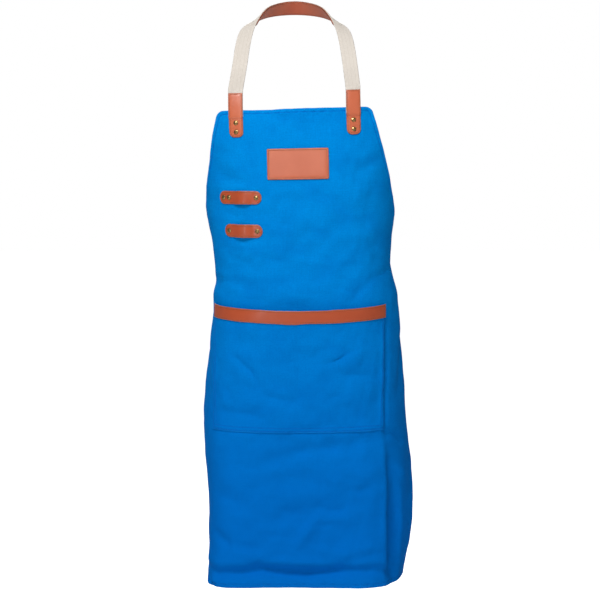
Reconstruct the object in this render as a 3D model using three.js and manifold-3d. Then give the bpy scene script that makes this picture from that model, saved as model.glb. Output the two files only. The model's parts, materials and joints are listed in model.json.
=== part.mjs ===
// Welding apron, hung as it is worn: a canvas bib apron with leather trims, a webbing neck
// strap, and a webbing waist strap that closes behind the wearer with a side-release buckle.
// Millimetres, +Z up, front towards -Y, +X towards the wearer's left. The origin is the point
// where the neck strap bears on the back of the neck.
import * as THREE from 'three';
import { mergeVertices } from 'three/addons/utils/BufferGeometryUtils.js';
import Module from 'manifold-3d';

const wasm = await Module();
wasm.setup();

// Canvas body, laid flat
const apronLength = 900;
const apronWidth = 700;
const bibWidth = 294;
const armholeDepth = 300;
const armholeSlant = 0.42;        // share of the armhole that is a straight slant
const bibCorner = 12;
const hemCorner = 18;
const canvasThickness = 1.6;
const bibTilt = 0.03;             // rise of the bib per millimetre towards the wearer's left
const waistLift = 18;             // how far the waist strap lifts the side edges

// Sewn and laid layers
const seamGap = 0.5;              // clearance between layers that lie on each other
const leatherThickness = 1.8;
const webbingWidth = 28;
const webbingThickness = 1.8;

// Pocket
const pocketTop = 373;
const pocketDepth = 233;
const pocketTopWidth = 352;
const pocketBottomWidth = 338;
const pocketThickness = 1.2;
const pocketGape = 18;            // how far the mouth stands open at its middle
const pocketDroop = 4;            // how far the middle of the mouth sags
const bandHeight = 25;
const bandStand = 1;              // band above the edge of the pocket

// Leather name patch, and the two tool loops with their rivets
const patchWidth = 115;
const patchHeight = 58;
const patchLevel = 103;
const patchSide = 3.5;
const loopHeight = 25;
const loopArch = 9;
const loopEndRadius = 12;
const rivetEdge = 10;             // rivet centre from the end of a loop
const rivetPitch = 12;            // between the two rivets of a doubled end
const toolLoops = [
  { name: 'upper', inner: -65, length: 86, level: 165, doubled: true },
  { name: 'lower', inner: -64, length: 76, level: 228, doubled: false },
];

// Leather tabs that hold the straps
const tabWidth = 27;
const tabOverhang = 31;           // tab beyond the edge of the canvas
const neckTabSide = 110;          // tab centre from the middle of the bib
const waistTabLevel = 318;
const tabRadius = 10;
const webbingTuck = 13;           // webbing covered between tab and canvas
const tabStep = 5;                // length in which a tab steps down past the webbing's end
const tabHeadRoom = 1;            // between that step and the head of the first rivet
const tabRivetEdge = 10;
const tabRivetPitch = 17;

// Rivets
const rivetHead = 9;
const rivetHeadHeight = 2.2;
const rivetPost = 3;
const rivetPlay = 0.3;            // hole beyond each side of the post
const rivetBack = 8.6;
const rivetBackHeight = 1.9;
const rivetBackWall = 0.8;        // base under the end of the post

// Neck strap
const neckHalfWidth = 76;         // strap centre line beside the neck
const neckRise = 195;             // back of the neck above the bib
const neckBack = 74;              // back of the neck behind the wearer's middle
const neckPadShare = 0.45;        // share of the free strap that the leather pad lines
const neckPadExtra = 1.5;         // pad wider than the webbing

// Waist strap and buckle
const backDepth = 131;            // waist strap behind the wearer's middle
const buckleMouth = 30;           // mouth of the socket from the wearer's middle
const buckleSide = 3;             // side of the buckle beside its slot
const buckleThickness = 9;
const socketLength = 44;
const socketWall = 3.4;
const socketSkin = 1.7;
const plugBaseLength = 17;
const strapBar = 3;
const strapSlot = 3.4;            // slot between a strap bar and the body of its half
const slotEnd = 1;                // slot beyond each edge of the webbing
const armLength = 27;
const armThickness = 3;
const armPlay = 2.6;              // room for an arm to press in from the socket's wall
const barbLength = 7;
const barbReach = 0.6;            // barb below the outside of the socket
const plugClearance = 0.5;
const tongueHeight = 5;
const tongueLength = 20;
const webbingTail = 54;           // adjusting tail beyond the socket's bar
const tailSpare = 12;             // how far the tail lies past the start of the strap's curve
const plugFold = 22;              // sewn fold beyond the plug's bar
const keeperLength = 12;
const keeperStand = 22;           // keeper centre from the socket
const keeperWall = 1.8;
const keeperPlay = 0.6;

const halfWidth = apronWidth / 2;
const rivetHole = rivetPost + 2 * rivetPlay;
const rivetSocketDepth = rivetBackHeight - rivetBackWall;
const stepStart = tabOverhang + webbingTuck + seamGap;
const tabLength = stepStart + tabStep + tabHeadRoom + rivetHead / 2 + tabRivetPitch + tabRivetEdge;
const buckleHeight = webbingWidth + 2 * (slotEnd + buckleSide);
const armOffset = buckleHeight / 2 - socketWall - armPlay - armThickness / 2;
const neckDatum = new THREE.Vector3(0, -neckBack, -neckRise);

function finish(color, roughness, metalness = 0) {
  return () => new THREE.MeshStandardMaterial({ color, roughness, metalness });
}

const canvasFinish = finish(0x0079cb, 0.9);
const leatherFinish = finish(0xc06a48, 0.55);
const webbingFinish = finish(0xe3dccf, 0.85);
const brassFinish = finish(0x8a6a3c, 0.4, 0.9);
const plasticFinish = finish(0x1b1b1d, 0.5);

// ---- The drape: how the flat cloth stands round the wearer ----

// Each level gives how far forward the cloth stands, how far it swings to the wearer's left,
// and the turn in degrees that it has made at each share of its half width.
const skirtLength = apronLength - armholeDepth;
const turnShares = [0, 0.171, 0.343, 0.571, 0.857, 1];
const inSkirt = (share) => armholeDepth + share * skirtLength;
const levels = [
  { at: -0.4 * armholeDepth, front: 60, side: -2, left: [1, 10, 34, 66, 80], right: [1, 10, 34, 66, 80] },
  { at: 0, front: 104, side: -1, left: [1, 12, 40, 74, 90], right: [1, 14, 44, 78, 92] },
  { at: armholeDepth / 3, front: 122, side: 2, left: [2, 20, 58, 88, 104], right: [3, 25, 63, 92, 112] },
  { at: armholeDepth / 1.5, front: 130, side: 3, left: [4, 21, 64, 108, 130], right: [5, 28, 74, 112, 132] },
  { at: armholeDepth, front: 128, side: 5, left: [5, 26, 69, 116, 140], right: [7, 30, 84, 118, 138] },
  { at: inSkirt(0.12), front: 134, side: 3, left: [4, 18, 61, 104, 120], right: [7, 30, 84, 104, 114] },
  { at: inSkirt(0.5), front: 142, side: 5, left: [2, 13, 56, 90, 92], right: [3, 17, 73, 92, 94] },
  { at: inSkirt(0.8), front: 146, side: 4, left: [1, 6, 52, 84, 96], right: [1, 15, 85, 92, 94] },
  { at: apronLength, front: 148, side: 4, left: [0, 3, 64, 84, 88], right: [0, 5, 84, 92, 92] },
];
const levelMarks = levels.map((level) => level.at);

// A smooth curve through values at given marks, straight beyond the last one.
function blend(marks, values, x) {
  const last = marks.length - 1;
  const chord = (i) => (values[i + 1] - values[i]) / (marks[i + 1] - marks[i]);
  if (x <= marks[0]) return values[0] + (x - marks[0]) * chord(0);
  if (x >= marks[last]) return values[last] + (x - marks[last]) * chord(last - 1);
  let i = 0;
  while (x >= marks[i + 1]) i += 1;
  const slope = (k) => {
    if (k === 0) return chord(0);
    if (k === last) return chord(last - 1);
    return (values[k + 1] - values[k - 1]) / (marks[k + 1] - marks[k - 1]);
  };
  const span = marks[i + 1] - marks[i];
  const t = (x - marks[i]) / span;
  const rise = t * t * (3 - 2 * t);
  return values[i] * (1 - rise) + values[i + 1] * rise
    + span * (t * (1 - t) * (1 - t) * slope(i) - t * t * (1 - t) * slope(i + 1));
}

const sectionSteps = 100;
const sectionReach = 1.3 * halfWidth;
const sections = new Map();

// One side of the cloth's cross-section at a level, walked outwards from the middle.
function crossSection(v, side) {
  const key = `${side} ${v.toFixed(2)}`;
  if (sections.has(key)) return sections.get(key);
  const turnAt = (k) => blend(levelMarks, levels.map((level) => level[side][k]), v);
  const turns = [0, ...turnShares.slice(1).map((share, k) => turnAt(k))];
  const step = sectionReach / sectionSteps;
  const points = [[0, 0]];
  for (let i = 0; i < sectionSteps; i += 1) {
    const share = (i + 0.5) * step / halfWidth;
    const turn = share < turnShares[1]
      ? turns[1] * (share / turnShares[1]) ** 2
      : blend(turnShares, turns, share);
    const heading = THREE.MathUtils.degToRad(turn);
    const [x, y] = points[i];
    points.push([x + step * Math.cos(heading), y + step * Math.sin(heading)]);
  }
  sections.set(key, points);
  return points;
}

// The front face of the canvas: u runs across from the middle, v runs down from the bib's top.
function skin(u, v) {
  const points = crossSection(v, u < 0 ? 'right' : 'left');
  const walk = Math.abs(u) / sectionReach * sectionSteps;
  const i = Math.min(Math.floor(walk), sectionSteps - 1);
  const [x0, y0] = points[i];
  const [x1, y1] = points[i + 1];
  const x = x0 + (x1 - x0) * (walk - i);
  const y = y0 + (y1 - y0) * (walk - i);
  const tilt = bibTilt * THREE.MathUtils.clamp(1 - v / (1.1 * armholeDepth), 0, 1);
  const lift = waistLift * THREE.MathUtils.clamp(1.25 * v / armholeDepth - 0.25, 0, 1)
    * THREE.MathUtils.clamp((apronLength - v) / (0.67 * skirtLength), 0, 1);
  return new THREE.Vector3(
    blend(levelMarks, levels.map((level) => level.side), v) + Math.sign(u) * x,
    y - blend(levelMarks, levels.map((level) => level.front), v),
    tilt * u + lift * (u / halfWidth) ** 2 - v,
  );
}

// Outward normal of the canvas.
function skinNormal(u, v) {
  const reach = 2;
  const across = skin(u + reach, v).sub(skin(u - reach, v));
  const down = skin(u, v + reach).sub(skin(u, v - reach));
  return down.cross(across).normalize();
}

function lifted(u, v, offset) {
  return skin(u, v).addScaledVector(skinNormal(u, v), offset);
}

// ---- Solids ----

function spread(from, to, steps) {
  return Array.from({ length: steps + 1 }, (_, i) => from + (to - from) * i / steps);
}

function closedGeometry(positions, index) {
  const geometry = new THREE.BufferGeometry();
  geometry.setAttribute('position', new THREE.Float32BufferAttribute(positions, 3));
  geometry.setIndex(index);
  return geometry;
}

function signedVolume(positions, index) {
  const corner = (k) => new THREE.Vector3().fromArray(positions, 3 * index[k]);
  let volume = 0;
  for (let k = 0; k < index.length; k += 3) {
    volume += corner(k).dot(corner(k + 1).cross(corner(k + 2))) / 6;
  }
  return volume;
}

// A closed layer from rows of [outer point, inner point] pairs.
function loft(rows) {
  const count = rows[0].length;
  const positions = [];
  rows.forEach((row) => row.forEach((pair) => pair.forEach((point) => positions.push(...point.toArray()))));
  const outer = (i, j) => 2 * (i * count + j);
  const inner = (i, j) => outer(i, j) + 1;
  const index = [];
  const quad = (a, b, c, d) => index.push(a, b, c, a, c, d);
  const lastRow = rows.length - 1;
  const lastColumn = count - 1;
  for (let i = 0; i < lastRow; i += 1) {
    for (let j = 0; j < lastColumn; j += 1) {
      quad(outer(i, j), outer(i + 1, j), outer(i + 1, j + 1), outer(i, j + 1));
      quad(inner(i, j), inner(i, j + 1), inner(i + 1, j + 1), inner(i + 1, j));
    }
    quad(outer(i, 0), inner(i, 0), inner(i + 1, 0), outer(i + 1, 0));
    quad(outer(i, lastColumn), outer(i + 1, lastColumn), inner(i + 1, lastColumn), inner(i, lastColumn));
  }
  for (let j = 0; j < lastColumn; j += 1) {
    quad(outer(0, j), outer(0, j + 1), inner(0, j + 1), inner(0, j));
    quad(outer(lastRow, j), inner(lastRow, j), inner(lastRow, j + 1), outer(lastRow, j + 1));
  }
  if (signedVolume(positions, index) < 0) {
    for (let k = 0; k < index.length; k += 3) {
      [index[k + 1], index[k + 2]] = [index[k + 2], index[k + 1]];
    }
  }
  return closedGeometry(positions, index);
}

function toSolid(geometry) {
  const bare = geometry.clone();
  ['normal', 'uv'].forEach((name) => bare.deleteAttribute(name));
  const merged = mergeVertices(bare, 1e-4);
  return new wasm.Manifold(new wasm.Mesh({
    numProp: 3,
    vertProperties: new Float32Array(merged.attributes.position.array),
    triVerts: new Uint32Array(merged.index.array),
  }));
}

function fromSolid(solid) {
  const mesh = solid.getMesh();
  return closedGeometry(Array.from(mesh.vertProperties), Array.from(mesh.triVerts));
}

function cut(geometry, tools) {
  return fromSolid(tools.reduce((solid, tool) => solid.subtract(toSolid(tool)), toSolid(geometry)));
}

function box(x0, x1, y0, y1, z0, z1) {
  return new THREE.BoxGeometry(x1 - x0, y1 - y0, z1 - z0)
    .translate((x0 + x1) / 2, (y0 + y1) / 2, (z0 + z1) / 2);
}

// Stands a shape made along +Y on the canvas, at an offset from its front face.
function standOn(geometry, { u, v }, offset) {
  const turn = new THREE.Quaternion().setFromUnitVectors(new THREE.Vector3(0, 1, 0), skinNormal(u, v));
  const place = lifted(u, v, offset);
  return geometry.applyQuaternion(turn).translate(place.x, place.y, place.z);
}

// ---- Rivets ----

const tabRivets = [0, 1].map((k) => tabLength - tabRivetEdge - k * tabRivetPitch);

function loopRivets(loop) {
  const near = loop.inner - rivetEdge;
  const far = loop.inner - loop.length + rivetEdge;
  const sides = loop.doubled ? [far, far + rivetPitch, near] : [far, near];
  return sides.map((u, k) => ({ name: `${loop.name}_loop_rivet_${k + 1}`, u, v: loop.level }));
}

function neckRivets(side) {
  return tabRivets.map((along, k) => ({
    name: `neck_tab_${side.name}_rivet_${k + 1}`,
    u: side.sign * neckTabSide,
    v: along - tabOverhang,
  }));
}

function waistRivets(side) {
  return tabRivets.map((along, k) => ({
    name: `waist_tab_${side.name}_rivet_${k + 1}`,
    u: side.sign * (halfWidth + tabOverhang - along),
    v: waistTabLevel,
  }));
}

const sides = [{ name: 'right', sign: -1 }, { name: 'left', sign: 1 }];
const rivets = [
  ...toolLoops.flatMap(loopRivets),
  ...sides.flatMap(neckRivets),
  ...sides.flatMap(waistRivets),
];

const headOffset = leatherThickness + 2 * seamGap;
const backOffset = -canvasThickness - 2 * seamGap;

function lathe(profile) {
  return new THREE.LatheGeometry(profile.map(([r, y]) => new THREE.Vector2(r, y)), 10);
}

// Domed head with its post, the underside of the head at y = 0.
function rivetCap() {
  const post = headOffset - backOffset + rivetSocketDepth - seamGap;
  return lathe([
    [0, -post],
    [rivetPost / 2, -post],
    [rivetPost / 2, 0],
    [rivetHead / 2, 0],
    [rivetHead / 2, 0.3 * rivetHeadHeight],
    [0.6 * rivetHead / 2, 0.9 * rivetHeadHeight],
    [0, rivetHeadHeight],
  ]);
}

// Cup that closes on the post behind the canvas, its rim at y = 0.
function rivetBase() {
  return lathe([
    [0, -rivetBackHeight],
    [0.7 * rivetBack / 2, -rivetBackHeight],
    [rivetBack / 2, 0],
    [rivetHole / 2, 0],
    [rivetHole / 2, -rivetSocketDepth],
    [0, -rivetSocketDepth],
  ]);
}

function rivetBores(set) {
  const bore = () => new THREE.CylinderGeometry(rivetHole / 2, rivetHole / 2, 16, 10);
  return set.map((rivet) => standOn(bore(), rivet, 0));
}

// ---- Cloth and leather on the canvas ----

const quarter = (steps) => spread(0, Math.PI / 2, steps);

// Outline of the canvas from the top down: [level, half width].
function canvasOutline() {
  const armhole = (angle) => {
    const slant = armholeSlant * Math.sin(angle) + (1 - armholeSlant) * (1 - Math.cos(angle));
    return [armholeDepth * Math.sin(angle), bibWidth / 2 + (halfWidth - bibWidth / 2) * slant];
  };
  const topCorner = quarter(2).slice(0, -1).map((angle) => {
    const v = bibCorner * (1 - Math.cos(angle));
    return [v, armhole(Math.asin(v / armholeDepth))[1] - bibCorner * (1 - Math.sin(angle))];
  });
  const cornerEnd = Math.asin(bibCorner / armholeDepth);
  const armholeEdge = spread(cornerEnd, Math.PI / 2, 12).map(armhole);
  const sideLength = apronLength - hemCorner - armholeDepth;
  const sideEdge = spread(0, 1, 12).slice(1).map((t) => [armholeDepth + sideLength * t ** 1.8, halfWidth]);
  const bottomCorner = quarter(2).slice(1).map((angle) => [
    apronLength - hemCorner * (1 - Math.sin(angle)),
    halfWidth - hemCorner * (1 - Math.cos(angle)),
  ]);
  return [...topCorner, ...armholeEdge, ...sideEdge, ...bottomCorner];
}

function canvasBody() {
  const columns = spread(-1, 1, 28);
  const rows = canvasOutline().map(([v, w]) => columns.map((share) => [
    skin(share * w, v),
    lifted(share * w, v, -canvasThickness),
  ]));
  return cut(loft(rows), rivetBores(rivets));
}

// Height of the pocket's inner face over the canvas, and its sag, by shares across and down.
function pocketPlace(share, down) {
  const middle = 1 - share * share;
  const width = THREE.MathUtils.lerp(pocketTopWidth, pocketBottomWidth, down);
  return {
    u: share * width / 2,
    v: pocketTop + pocketDepth * down + pocketDroop * middle * (1 - down),
    stand: seamGap + pocketGape * middle * (1 - down) ** 1.3,
  };
}

function pocketPanel() {
  const rows = spread(0, 1, 6).map((down) => spread(-1, 1, 24).map((share) => {
    const { u, v, stand } = pocketPlace(share, down);
    return [lifted(u, v, stand + pocketThickness), lifted(u, v, stand)];
  }));
  return loft(rows);
}

function pocketBand() {
  const drops = [-bandStand, bandHeight / 2, bandHeight - bandStand];
  const rows = drops.map((drop) => spread(-1, 1, 24).map((share) => {
    const { u, v, stand } = pocketPlace(share, drop / pocketDepth);
    const face = stand + pocketThickness + seamGap;
    return [lifted(u, v, face + leatherThickness), lifted(u, v, face)];
  }));
  return loft(rows);
}

// The patch is a flat plate on the flat middle of the bib.
function namePatch() {
  const normal = skinNormal(patchSide, patchLevel);
  const across = skin(patchSide + 1, patchLevel).sub(skin(patchSide - 1, patchLevel)).normalize();
  const up = normal.clone().cross(across).negate().normalize();
  const base = lifted(patchSide, patchLevel, seamGap + leatherThickness / 2);
  const plate = new THREE.BoxGeometry(patchWidth, patchHeight, leatherThickness);
  const turn = new THREE.Matrix4().makeBasis(across, up, across.clone().cross(up));
  return plate.applyMatrix4(turn.setPosition(base));
}

// Stations along a strip with rounded ends: [distance from its start, half height].
function roundedStrip(length, height, radius, steps, squareStart = false) {
  const straight = height / 2 - radius;
  const arc = quarter(3).map((angle) => [
    radius * (1 - Math.cos(angle)),
    straight + radius * Math.sin(angle),
  ]);
  const start = squareStart ? [[0, height / 2]] : arc;
  const from = squareStart ? 0 : radius;
  const body = spread(from, length - radius, steps).slice(1, -1).map((along) => [along, height / 2]);
  const end = arc.map(([along, half]) => [length - along, half]).reverse();
  return [...start, ...body, ...end];
}

function smoothStep(x, from, to) {
  return THREE.MathUtils.smoothstep(x, from, to);
}

// A tool loop lies flat under its rivets and arches off the canvas between them.
function toolLoop(loop) {
  const fixed = loopRivets(loop);
  const flat = rivetHead / 2 + 1;
  const archStart = fixed[fixed.length - 2].u + flat;
  const archEnd = fixed[fixed.length - 1].u - flat;
  const ramp = (archEnd - archStart) / 2.3;
  const start = loop.inner - loop.length;
  const rows = roundedStrip(loop.length, loopHeight, loopEndRadius, 12).map(([along, half]) => {
    const u = start + along;
    const rise = smoothStep(u, archStart, archStart + ramp);
    const arch = loopArch * rise * (1 - smoothStep(u, archEnd - ramp, archEnd));
    return spread(-half, half, 3).map((rise) => [
      lifted(u, loop.level + rise, seamGap + arch + leatherThickness),
      lifted(u, loop.level + rise, seamGap + arch),
    ]);
  });
  return cut(loft(rows), rivetBores(fixed));
}

// ---- Straps and the tabs that hold them ----

const webbingInner = seamGap;
const webbingOuter = seamGap + webbingThickness;
const webbingColumns = spread(-webbingWidth / 2, webbingWidth / 2, 4);

// A tab covers the end of the webbing, then steps down on to the canvas. along runs from its
// square end towards the canvas, and place turns along and across into u and v.
function strapTab(place, fixed) {
  const rows = roundedStrip(tabLength, tabWidth, tabRadius, 10, true).map(([along, half]) => {
    const down = smoothStep(along, stepStart, stepStart + tabStep);
    const face = seamGap + (webbingThickness + seamGap) * (1 - down);
    return spread(-half, half, 4).map((across) => {
      const { u, v } = place(along, across);
      return [lifted(u, v, face + leatherThickness), lifted(u, v, face)];
    });
  });
  return cut(loft(rows), rivetBores(fixed));
}

const neckPlace = (side) => (along, across) => ({
  u: side.sign * (neckTabSide + across),
  v: along - tabOverhang,
});
const waistPlace = (side) => (along, across) => ({
  u: side.sign * (halfWidth + tabOverhang - along),
  v: waistTabLevel + across,
});

// Rows of webbing between a tab and the canvas, from the free end of the tab inwards.
function tuckedRows(place) {
  return spread(0, tabOverhang + webbingTuck, 5).map((along) => webbingColumns.map((across) => {
    const { u, v } = place(along, across);
    return [lifted(u, v, webbingOuter), lifted(u, v, webbingInner)];
  }));
}

// Rows of webbing along a free route: points and outer normals, both smoothly joined.
function routeFrames(points, normals, steps, from = 0, to = 1) {
  const route = new THREE.CatmullRomCurve3(points, false, 'centripetal');
  const faces = new THREE.CatmullRomCurve3(normals, false, 'centripetal');
  return spread(from, to, steps).map((t) => {
    const tangent = route.getTangent(t);
    const normal = faces.getPoint(t);
    normal.addScaledVector(tangent, -normal.dot(tangent)).normalize();
    return { point: route.getPoint(t), normal, across: normal.clone().cross(tangent) };
  });
}

function frameRows(frames, columns, near, far) {
  return frames.map(({ point, normal, across }) => columns.map((shift) => {
    const middle = point.clone().addScaledVector(across, shift);
    return [middle.clone().addScaledVector(normal, far), middle.clone().addScaledVector(normal, near)];
  }));
}

// Route of the neck strap: it leaves the right tab, rises over the chest and the shoulder,
// turns up behind the neck and comes down to the left tab the same way.
function neckRoute() {
  const leave = (side) => {
    const middle = (webbingInner + webbingOuter) / 2;
    return lifted(side.sign * neckTabSide, -tabOverhang - 6, middle);
  };
  const half = [
    { x: 1.36 * neckHalfWidth, y: -78, z: 0.42 * neckRise, normal: [0, -0.82, 0.45] },
    { x: 1.29 * neckHalfWidth, y: -45, z: 0.62 * neckRise, normal: [0, -0.68, 0.73] },
    { x: 1.19 * neckHalfWidth, y: -8, z: 0.77 * neckRise, normal: [0.2, -0.35, 0.91] },
    { x: neckHalfWidth, y: 0.38 * neckBack, z: 0.87 * neckRise, normal: [0.5, 0.05, 0.86] },
    { x: 0.66 * neckHalfWidth, y: 0.74 * neckBack, z: 0.96 * neckRise, normal: [0.5, 0.55, 0.67] },
  ];
  const start = { normal: [0, -0.97, 0.2] };
  const back = { point: new THREE.Vector3(0, neckBack, neckRise), normal: new THREE.Vector3(0, 0.87, 0.5) };
  const mirror = (side) => half.map((p) => ({
    point: new THREE.Vector3(side.sign * p.x, p.y, p.z),
    normal: new THREE.Vector3(side.sign * p.normal[0], p.normal[1], p.normal[2]),
  }));
  const end = (side) => ({ point: leave(side), normal: new THREE.Vector3(...start.normal) });
  const [right, left] = sides;
  return [end(right), ...mirror(right), back, ...mirror(left).reverse(), end(left)];
}

const halfWebbing = webbingThickness / 2;
const neckStations = neckRoute();
const neckPoints = neckStations.map((station) => station.point);
const neckNormals = neckStations.map((station) => station.normal);

const neckSteps = 40;
const neckPadSteps = 2 * Math.round(neckPadShare * neckSteps / 2);

function neckStrap() {
  const [right, left] = sides;
  const climb = tuckedRows(neckPlace(right)).reverse();
  const frames = routeFrames(neckPoints, neckNormals, neckSteps);
  const free = frameRows(frames, webbingColumns, -halfWebbing, halfWebbing);
  const fall = tuckedRows(neckPlace(left));
  return loft([...climb, ...free, ...fall]);
}

function neckPad() {
  const half = (webbingWidth + neckPadExtra) / 2;
  const from = 0.5 - neckPadSteps / neckSteps / 2;
  const frames = routeFrames(neckPoints, neckNormals, neckPadSteps, from, 1 - from);
  const face = -halfWebbing - seamGap;
  return loft(frameRows(frames, spread(-half, half, 4), face - leatherThickness, face));
}

// Level of the waist strap where it crosses the back.
const waistLevel = skin(halfWidth + tabOverhang, waistTabLevel).z / 2
  + skin(-halfWidth - tabOverhang, waistTabLevel).z / 2;

// Stations of a strap end that goes round a bar and lies back on itself: along the back from
// x = far to the bar, round it, and back to x = tail, outside the first leg.
function foldedEnd(side, bar, far, tail) {
  const legGap = strapBar / 2 + seamGap + halfWebbing;
  const rest = halfWebbing + seamGap / 2;
  const settle = 14;              // length in which the two legs close up beside the bar
  const near = (share) => bar + side.sign * settle * share;
  const turn = [-60, -30, 0, 30, 60].map((degrees) => {
    const angle = THREE.MathUtils.degToRad(degrees);
    return [bar - side.sign * legGap * Math.cos(angle), legGap * Math.sin(angle)];
  });
  const route = [
    [far, -rest],
    [near(1), -rest],
    [near(0.5), -(rest + legGap) / 2],
    [bar, -legGap],
    ...turn,
    [bar, legGap],
    [near(0.5), (rest + legGap) / 2],
    [near(1), rest],
    [tail, rest],
  ];
  return route.map(([x, offset]) => ({
    point: new THREE.Vector3(x, backDepth + offset, waistLevel),
    across: new THREE.Vector3(0, 0, -1),
  }));
}

// Rows of webbing along stations that give a point and the direction across the strap.
function stationRows(side, stations) {
  return stations.map(({ point, across }, i) => {
    const before = stations[Math.max(i - 1, 0)].point;
    const after = stations[Math.min(i + 1, stations.length - 1)].point;
    const face = across.clone().cross(after.clone().sub(before)).normalize().multiplyScalar(side.sign);
    return webbingColumns.map((shift) => {
      const middle = point.clone().addScaledVector(across, shift);
      return [
        middle.clone().addScaledVector(face, halfWebbing),
        middle.clone().addScaledVector(face, -halfWebbing),
      ];
    });
  });
}

// A waist strap leaves its tab in the canvas's own direction, eases on to the back and folds
// round its bar.
function waistStrap(side, bar, far, tail) {
  const middle = (webbingInner + webbingOuter) / 2;
  const free = side.sign * (halfWidth + tabOverhang);
  const edge = lifted(free, waistTabLevel, middle);
  const ahead = edge.clone().sub(lifted(free - 2 * side.sign, waistTabLevel, middle)).normalize();
  const below = lifted(free, waistTabLevel + 1, middle);
  const down = below.sub(lifted(free, waistTabLevel - 1, middle)).normalize();
  const leave = edge.clone().addScaledVector(ahead, 4);
  const join = new THREE.Vector3(far, backDepth - halfWebbing - seamGap / 2, waistLevel);
  const reach = leave.distanceTo(join) / 2.6;
  const sweep = new THREE.CubicBezierCurve3(
    leave,
    leave.clone().addScaledVector(ahead, reach),
    join.clone().add(new THREE.Vector3(side.sign * reach, 0, 0)),
    join,
  );
  const eased = spread(0, 1, 7).slice(0, -1).map((t) => ({
    point: sweep.getPoint(t),
    across: down.clone().lerp(new THREE.Vector3(0, 0, -1), t).normalize(),
  }));
  const tucked = tuckedRows(waistPlace(side)).reverse();
  return loft([...tucked, ...stationRows(side, [...eased, ...foldedEnd(side, bar, far, tail)])]);
}

const socketStart = buckleMouth - socketLength;
const socketBar = socketStart + strapBar / 2;
const plugBar = buckleMouth + plugBaseLength - strapBar / 2;

function rightWaistStrap() {
  const tail = socketBar - webbingTail;
  return waistStrap(sides[0], socketBar, tail + tailSpare, tail);
}

function leftWaistStrap() {
  return waistStrap(sides[1], plugBar, plugBar + plugFold - halfWebbing, plugBar + plugFold);
}

// ---- Buckle ----

const halfThick = buckleThickness / 2;
const halfHeight = buckleHeight / 2;

// Opens the strap end of a buckle half, then sets its round bar across the opening.
function withStrapBar(blank, bar, inward) {
  const half = webbingWidth / 2 + slotEnd;
  const slotSide = bar + inward * (strapBar / 2 + strapSlot);
  const openSide = bar - inward * (strapBar / 2 + 1);
  const [from, to] = [slotSide, openSide].sort((a, b) => a - b);
  const opening = box(from, to, -halfThick - 1, halfThick + 1, -half, half);
  const rod = new THREE.CylinderGeometry(strapBar / 2, strapBar / 2, 2 * half + 1, 16)
    .rotateX(Math.PI / 2)
    .translate(bar, 0, 0);
  return fromSolid(toSolid(cut(blank, [opening])).add(toSolid(rod)));
}

// An outline in x and z with rounded corners, as thick as the buckle.
function buckleBlank(x0, x1, radius) {
  const shape = new THREE.Shape();
  shape.absarc(x1 - radius, halfHeight - radius, radius, 0, Math.PI / 2);
  shape.absarc(x0 + radius, halfHeight - radius, radius, Math.PI / 2, Math.PI);
  shape.absarc(x0 + radius, radius - halfHeight, radius, Math.PI, 1.5 * Math.PI);
  shape.absarc(x1 - radius, radius - halfHeight, radius, 1.5 * Math.PI, 2 * Math.PI);
  return new THREE.ExtrudeGeometry(shape, { depth: buckleThickness, bevelEnabled: false, curveSegments: 5 })
    .translate(0, 0, -halfThick)
    .rotateX(Math.PI / 2);
}

const armTip = buckleMouth - armLength;
const barbTop = halfHeight - barbReach;

function buckleSocket() {
  const cavity = box(armTip - 2, buckleMouth + 1, socketSkin - halfThick, halfThick - socketSkin,
    socketWall - halfHeight, halfHeight - socketWall);
  const windows = box(armTip - 1.5, armTip + barbLength + 1, socketSkin - halfThick, halfThick - socketSkin,
    -halfHeight - 1, halfHeight + 1);
  return withStrapBar(cut(buckleBlank(socketStart, buckleMouth, 4), [cavity, windows]), socketBar, 1);
}

// The plug: a frame with the strap's bar, and the tongue that guides it into the socket.
function bucklePlug() {
  const blank = buckleBlank(buckleMouth + plugClearance, buckleMouth + plugBaseLength, 4);
  const base = withStrapBar(blank, plugBar, -1);
  const thin = halfThick - socketSkin - plugClearance;
  const tongueEnd = buckleMouth - tongueLength;
  const tongue = box(tongueEnd, buckleMouth + 1.5, -thin, thin, -tongueHeight / 2, tongueHeight / 2);
  return fromSolid(toSolid(base).add(toSolid(tongue)));
}

// A latch arm with its barb, above (sign 1) or below (sign -1) the tongue.
function latchArm(sign) {
  const root = buckleMouth + 0.1;
  const inner = armOffset - armThickness / 2;
  const outer = armOffset + armThickness / 2;
  const outline = [
    [root, inner],
    [root, outer],
    [armTip + barbLength, outer],
    [armTip + barbLength, barbTop],
    [armTip + 0.45 * barbLength, barbTop],
    [armTip, outer - 1],
    [armTip, inner],
  ];
  const shape = new THREE.Shape(outline.map(([x, z]) => new THREE.Vector2(x, sign * z)));
  const thin = halfThick - socketSkin - plugClearance;
  return new THREE.ExtrudeGeometry(shape, { depth: 2 * thin, bevelEnabled: false })
    .translate(0, 0, -thin)
    .rotateX(Math.PI / 2);
}

// A leather loop round both layers of the right waist strap.
function strapKeeper() {
  const centre = socketStart - keeperStand;
  const inY = webbingThickness + seamGap / 2 + keeperPlay;
  const inZ = webbingWidth / 2 + keeperPlay;
  const half = keeperLength / 2;
  const outside = box(centre - half, centre + half, -inY - keeperWall, inY + keeperWall,
    -inZ - keeperWall, inZ + keeperWall);
  const inside = box(centre - half - 1, centre + half + 1, -inY, inY, -inZ, inZ);
  return cut(outside, [inside]);
}

// ---- Assembly ----

const apron = new THREE.Group();
apron.position.copy(neckDatum);
const waistHardware = new THREE.Group();
waistHardware.position.set(0, backDepth, waistLevel);
apron.add(waistHardware);

function addPiece(parent, name, geometry, material) {
  const mesh = new THREE.Mesh(geometry, material());
  mesh.name = name;
  parent.add(mesh);
}

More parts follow.
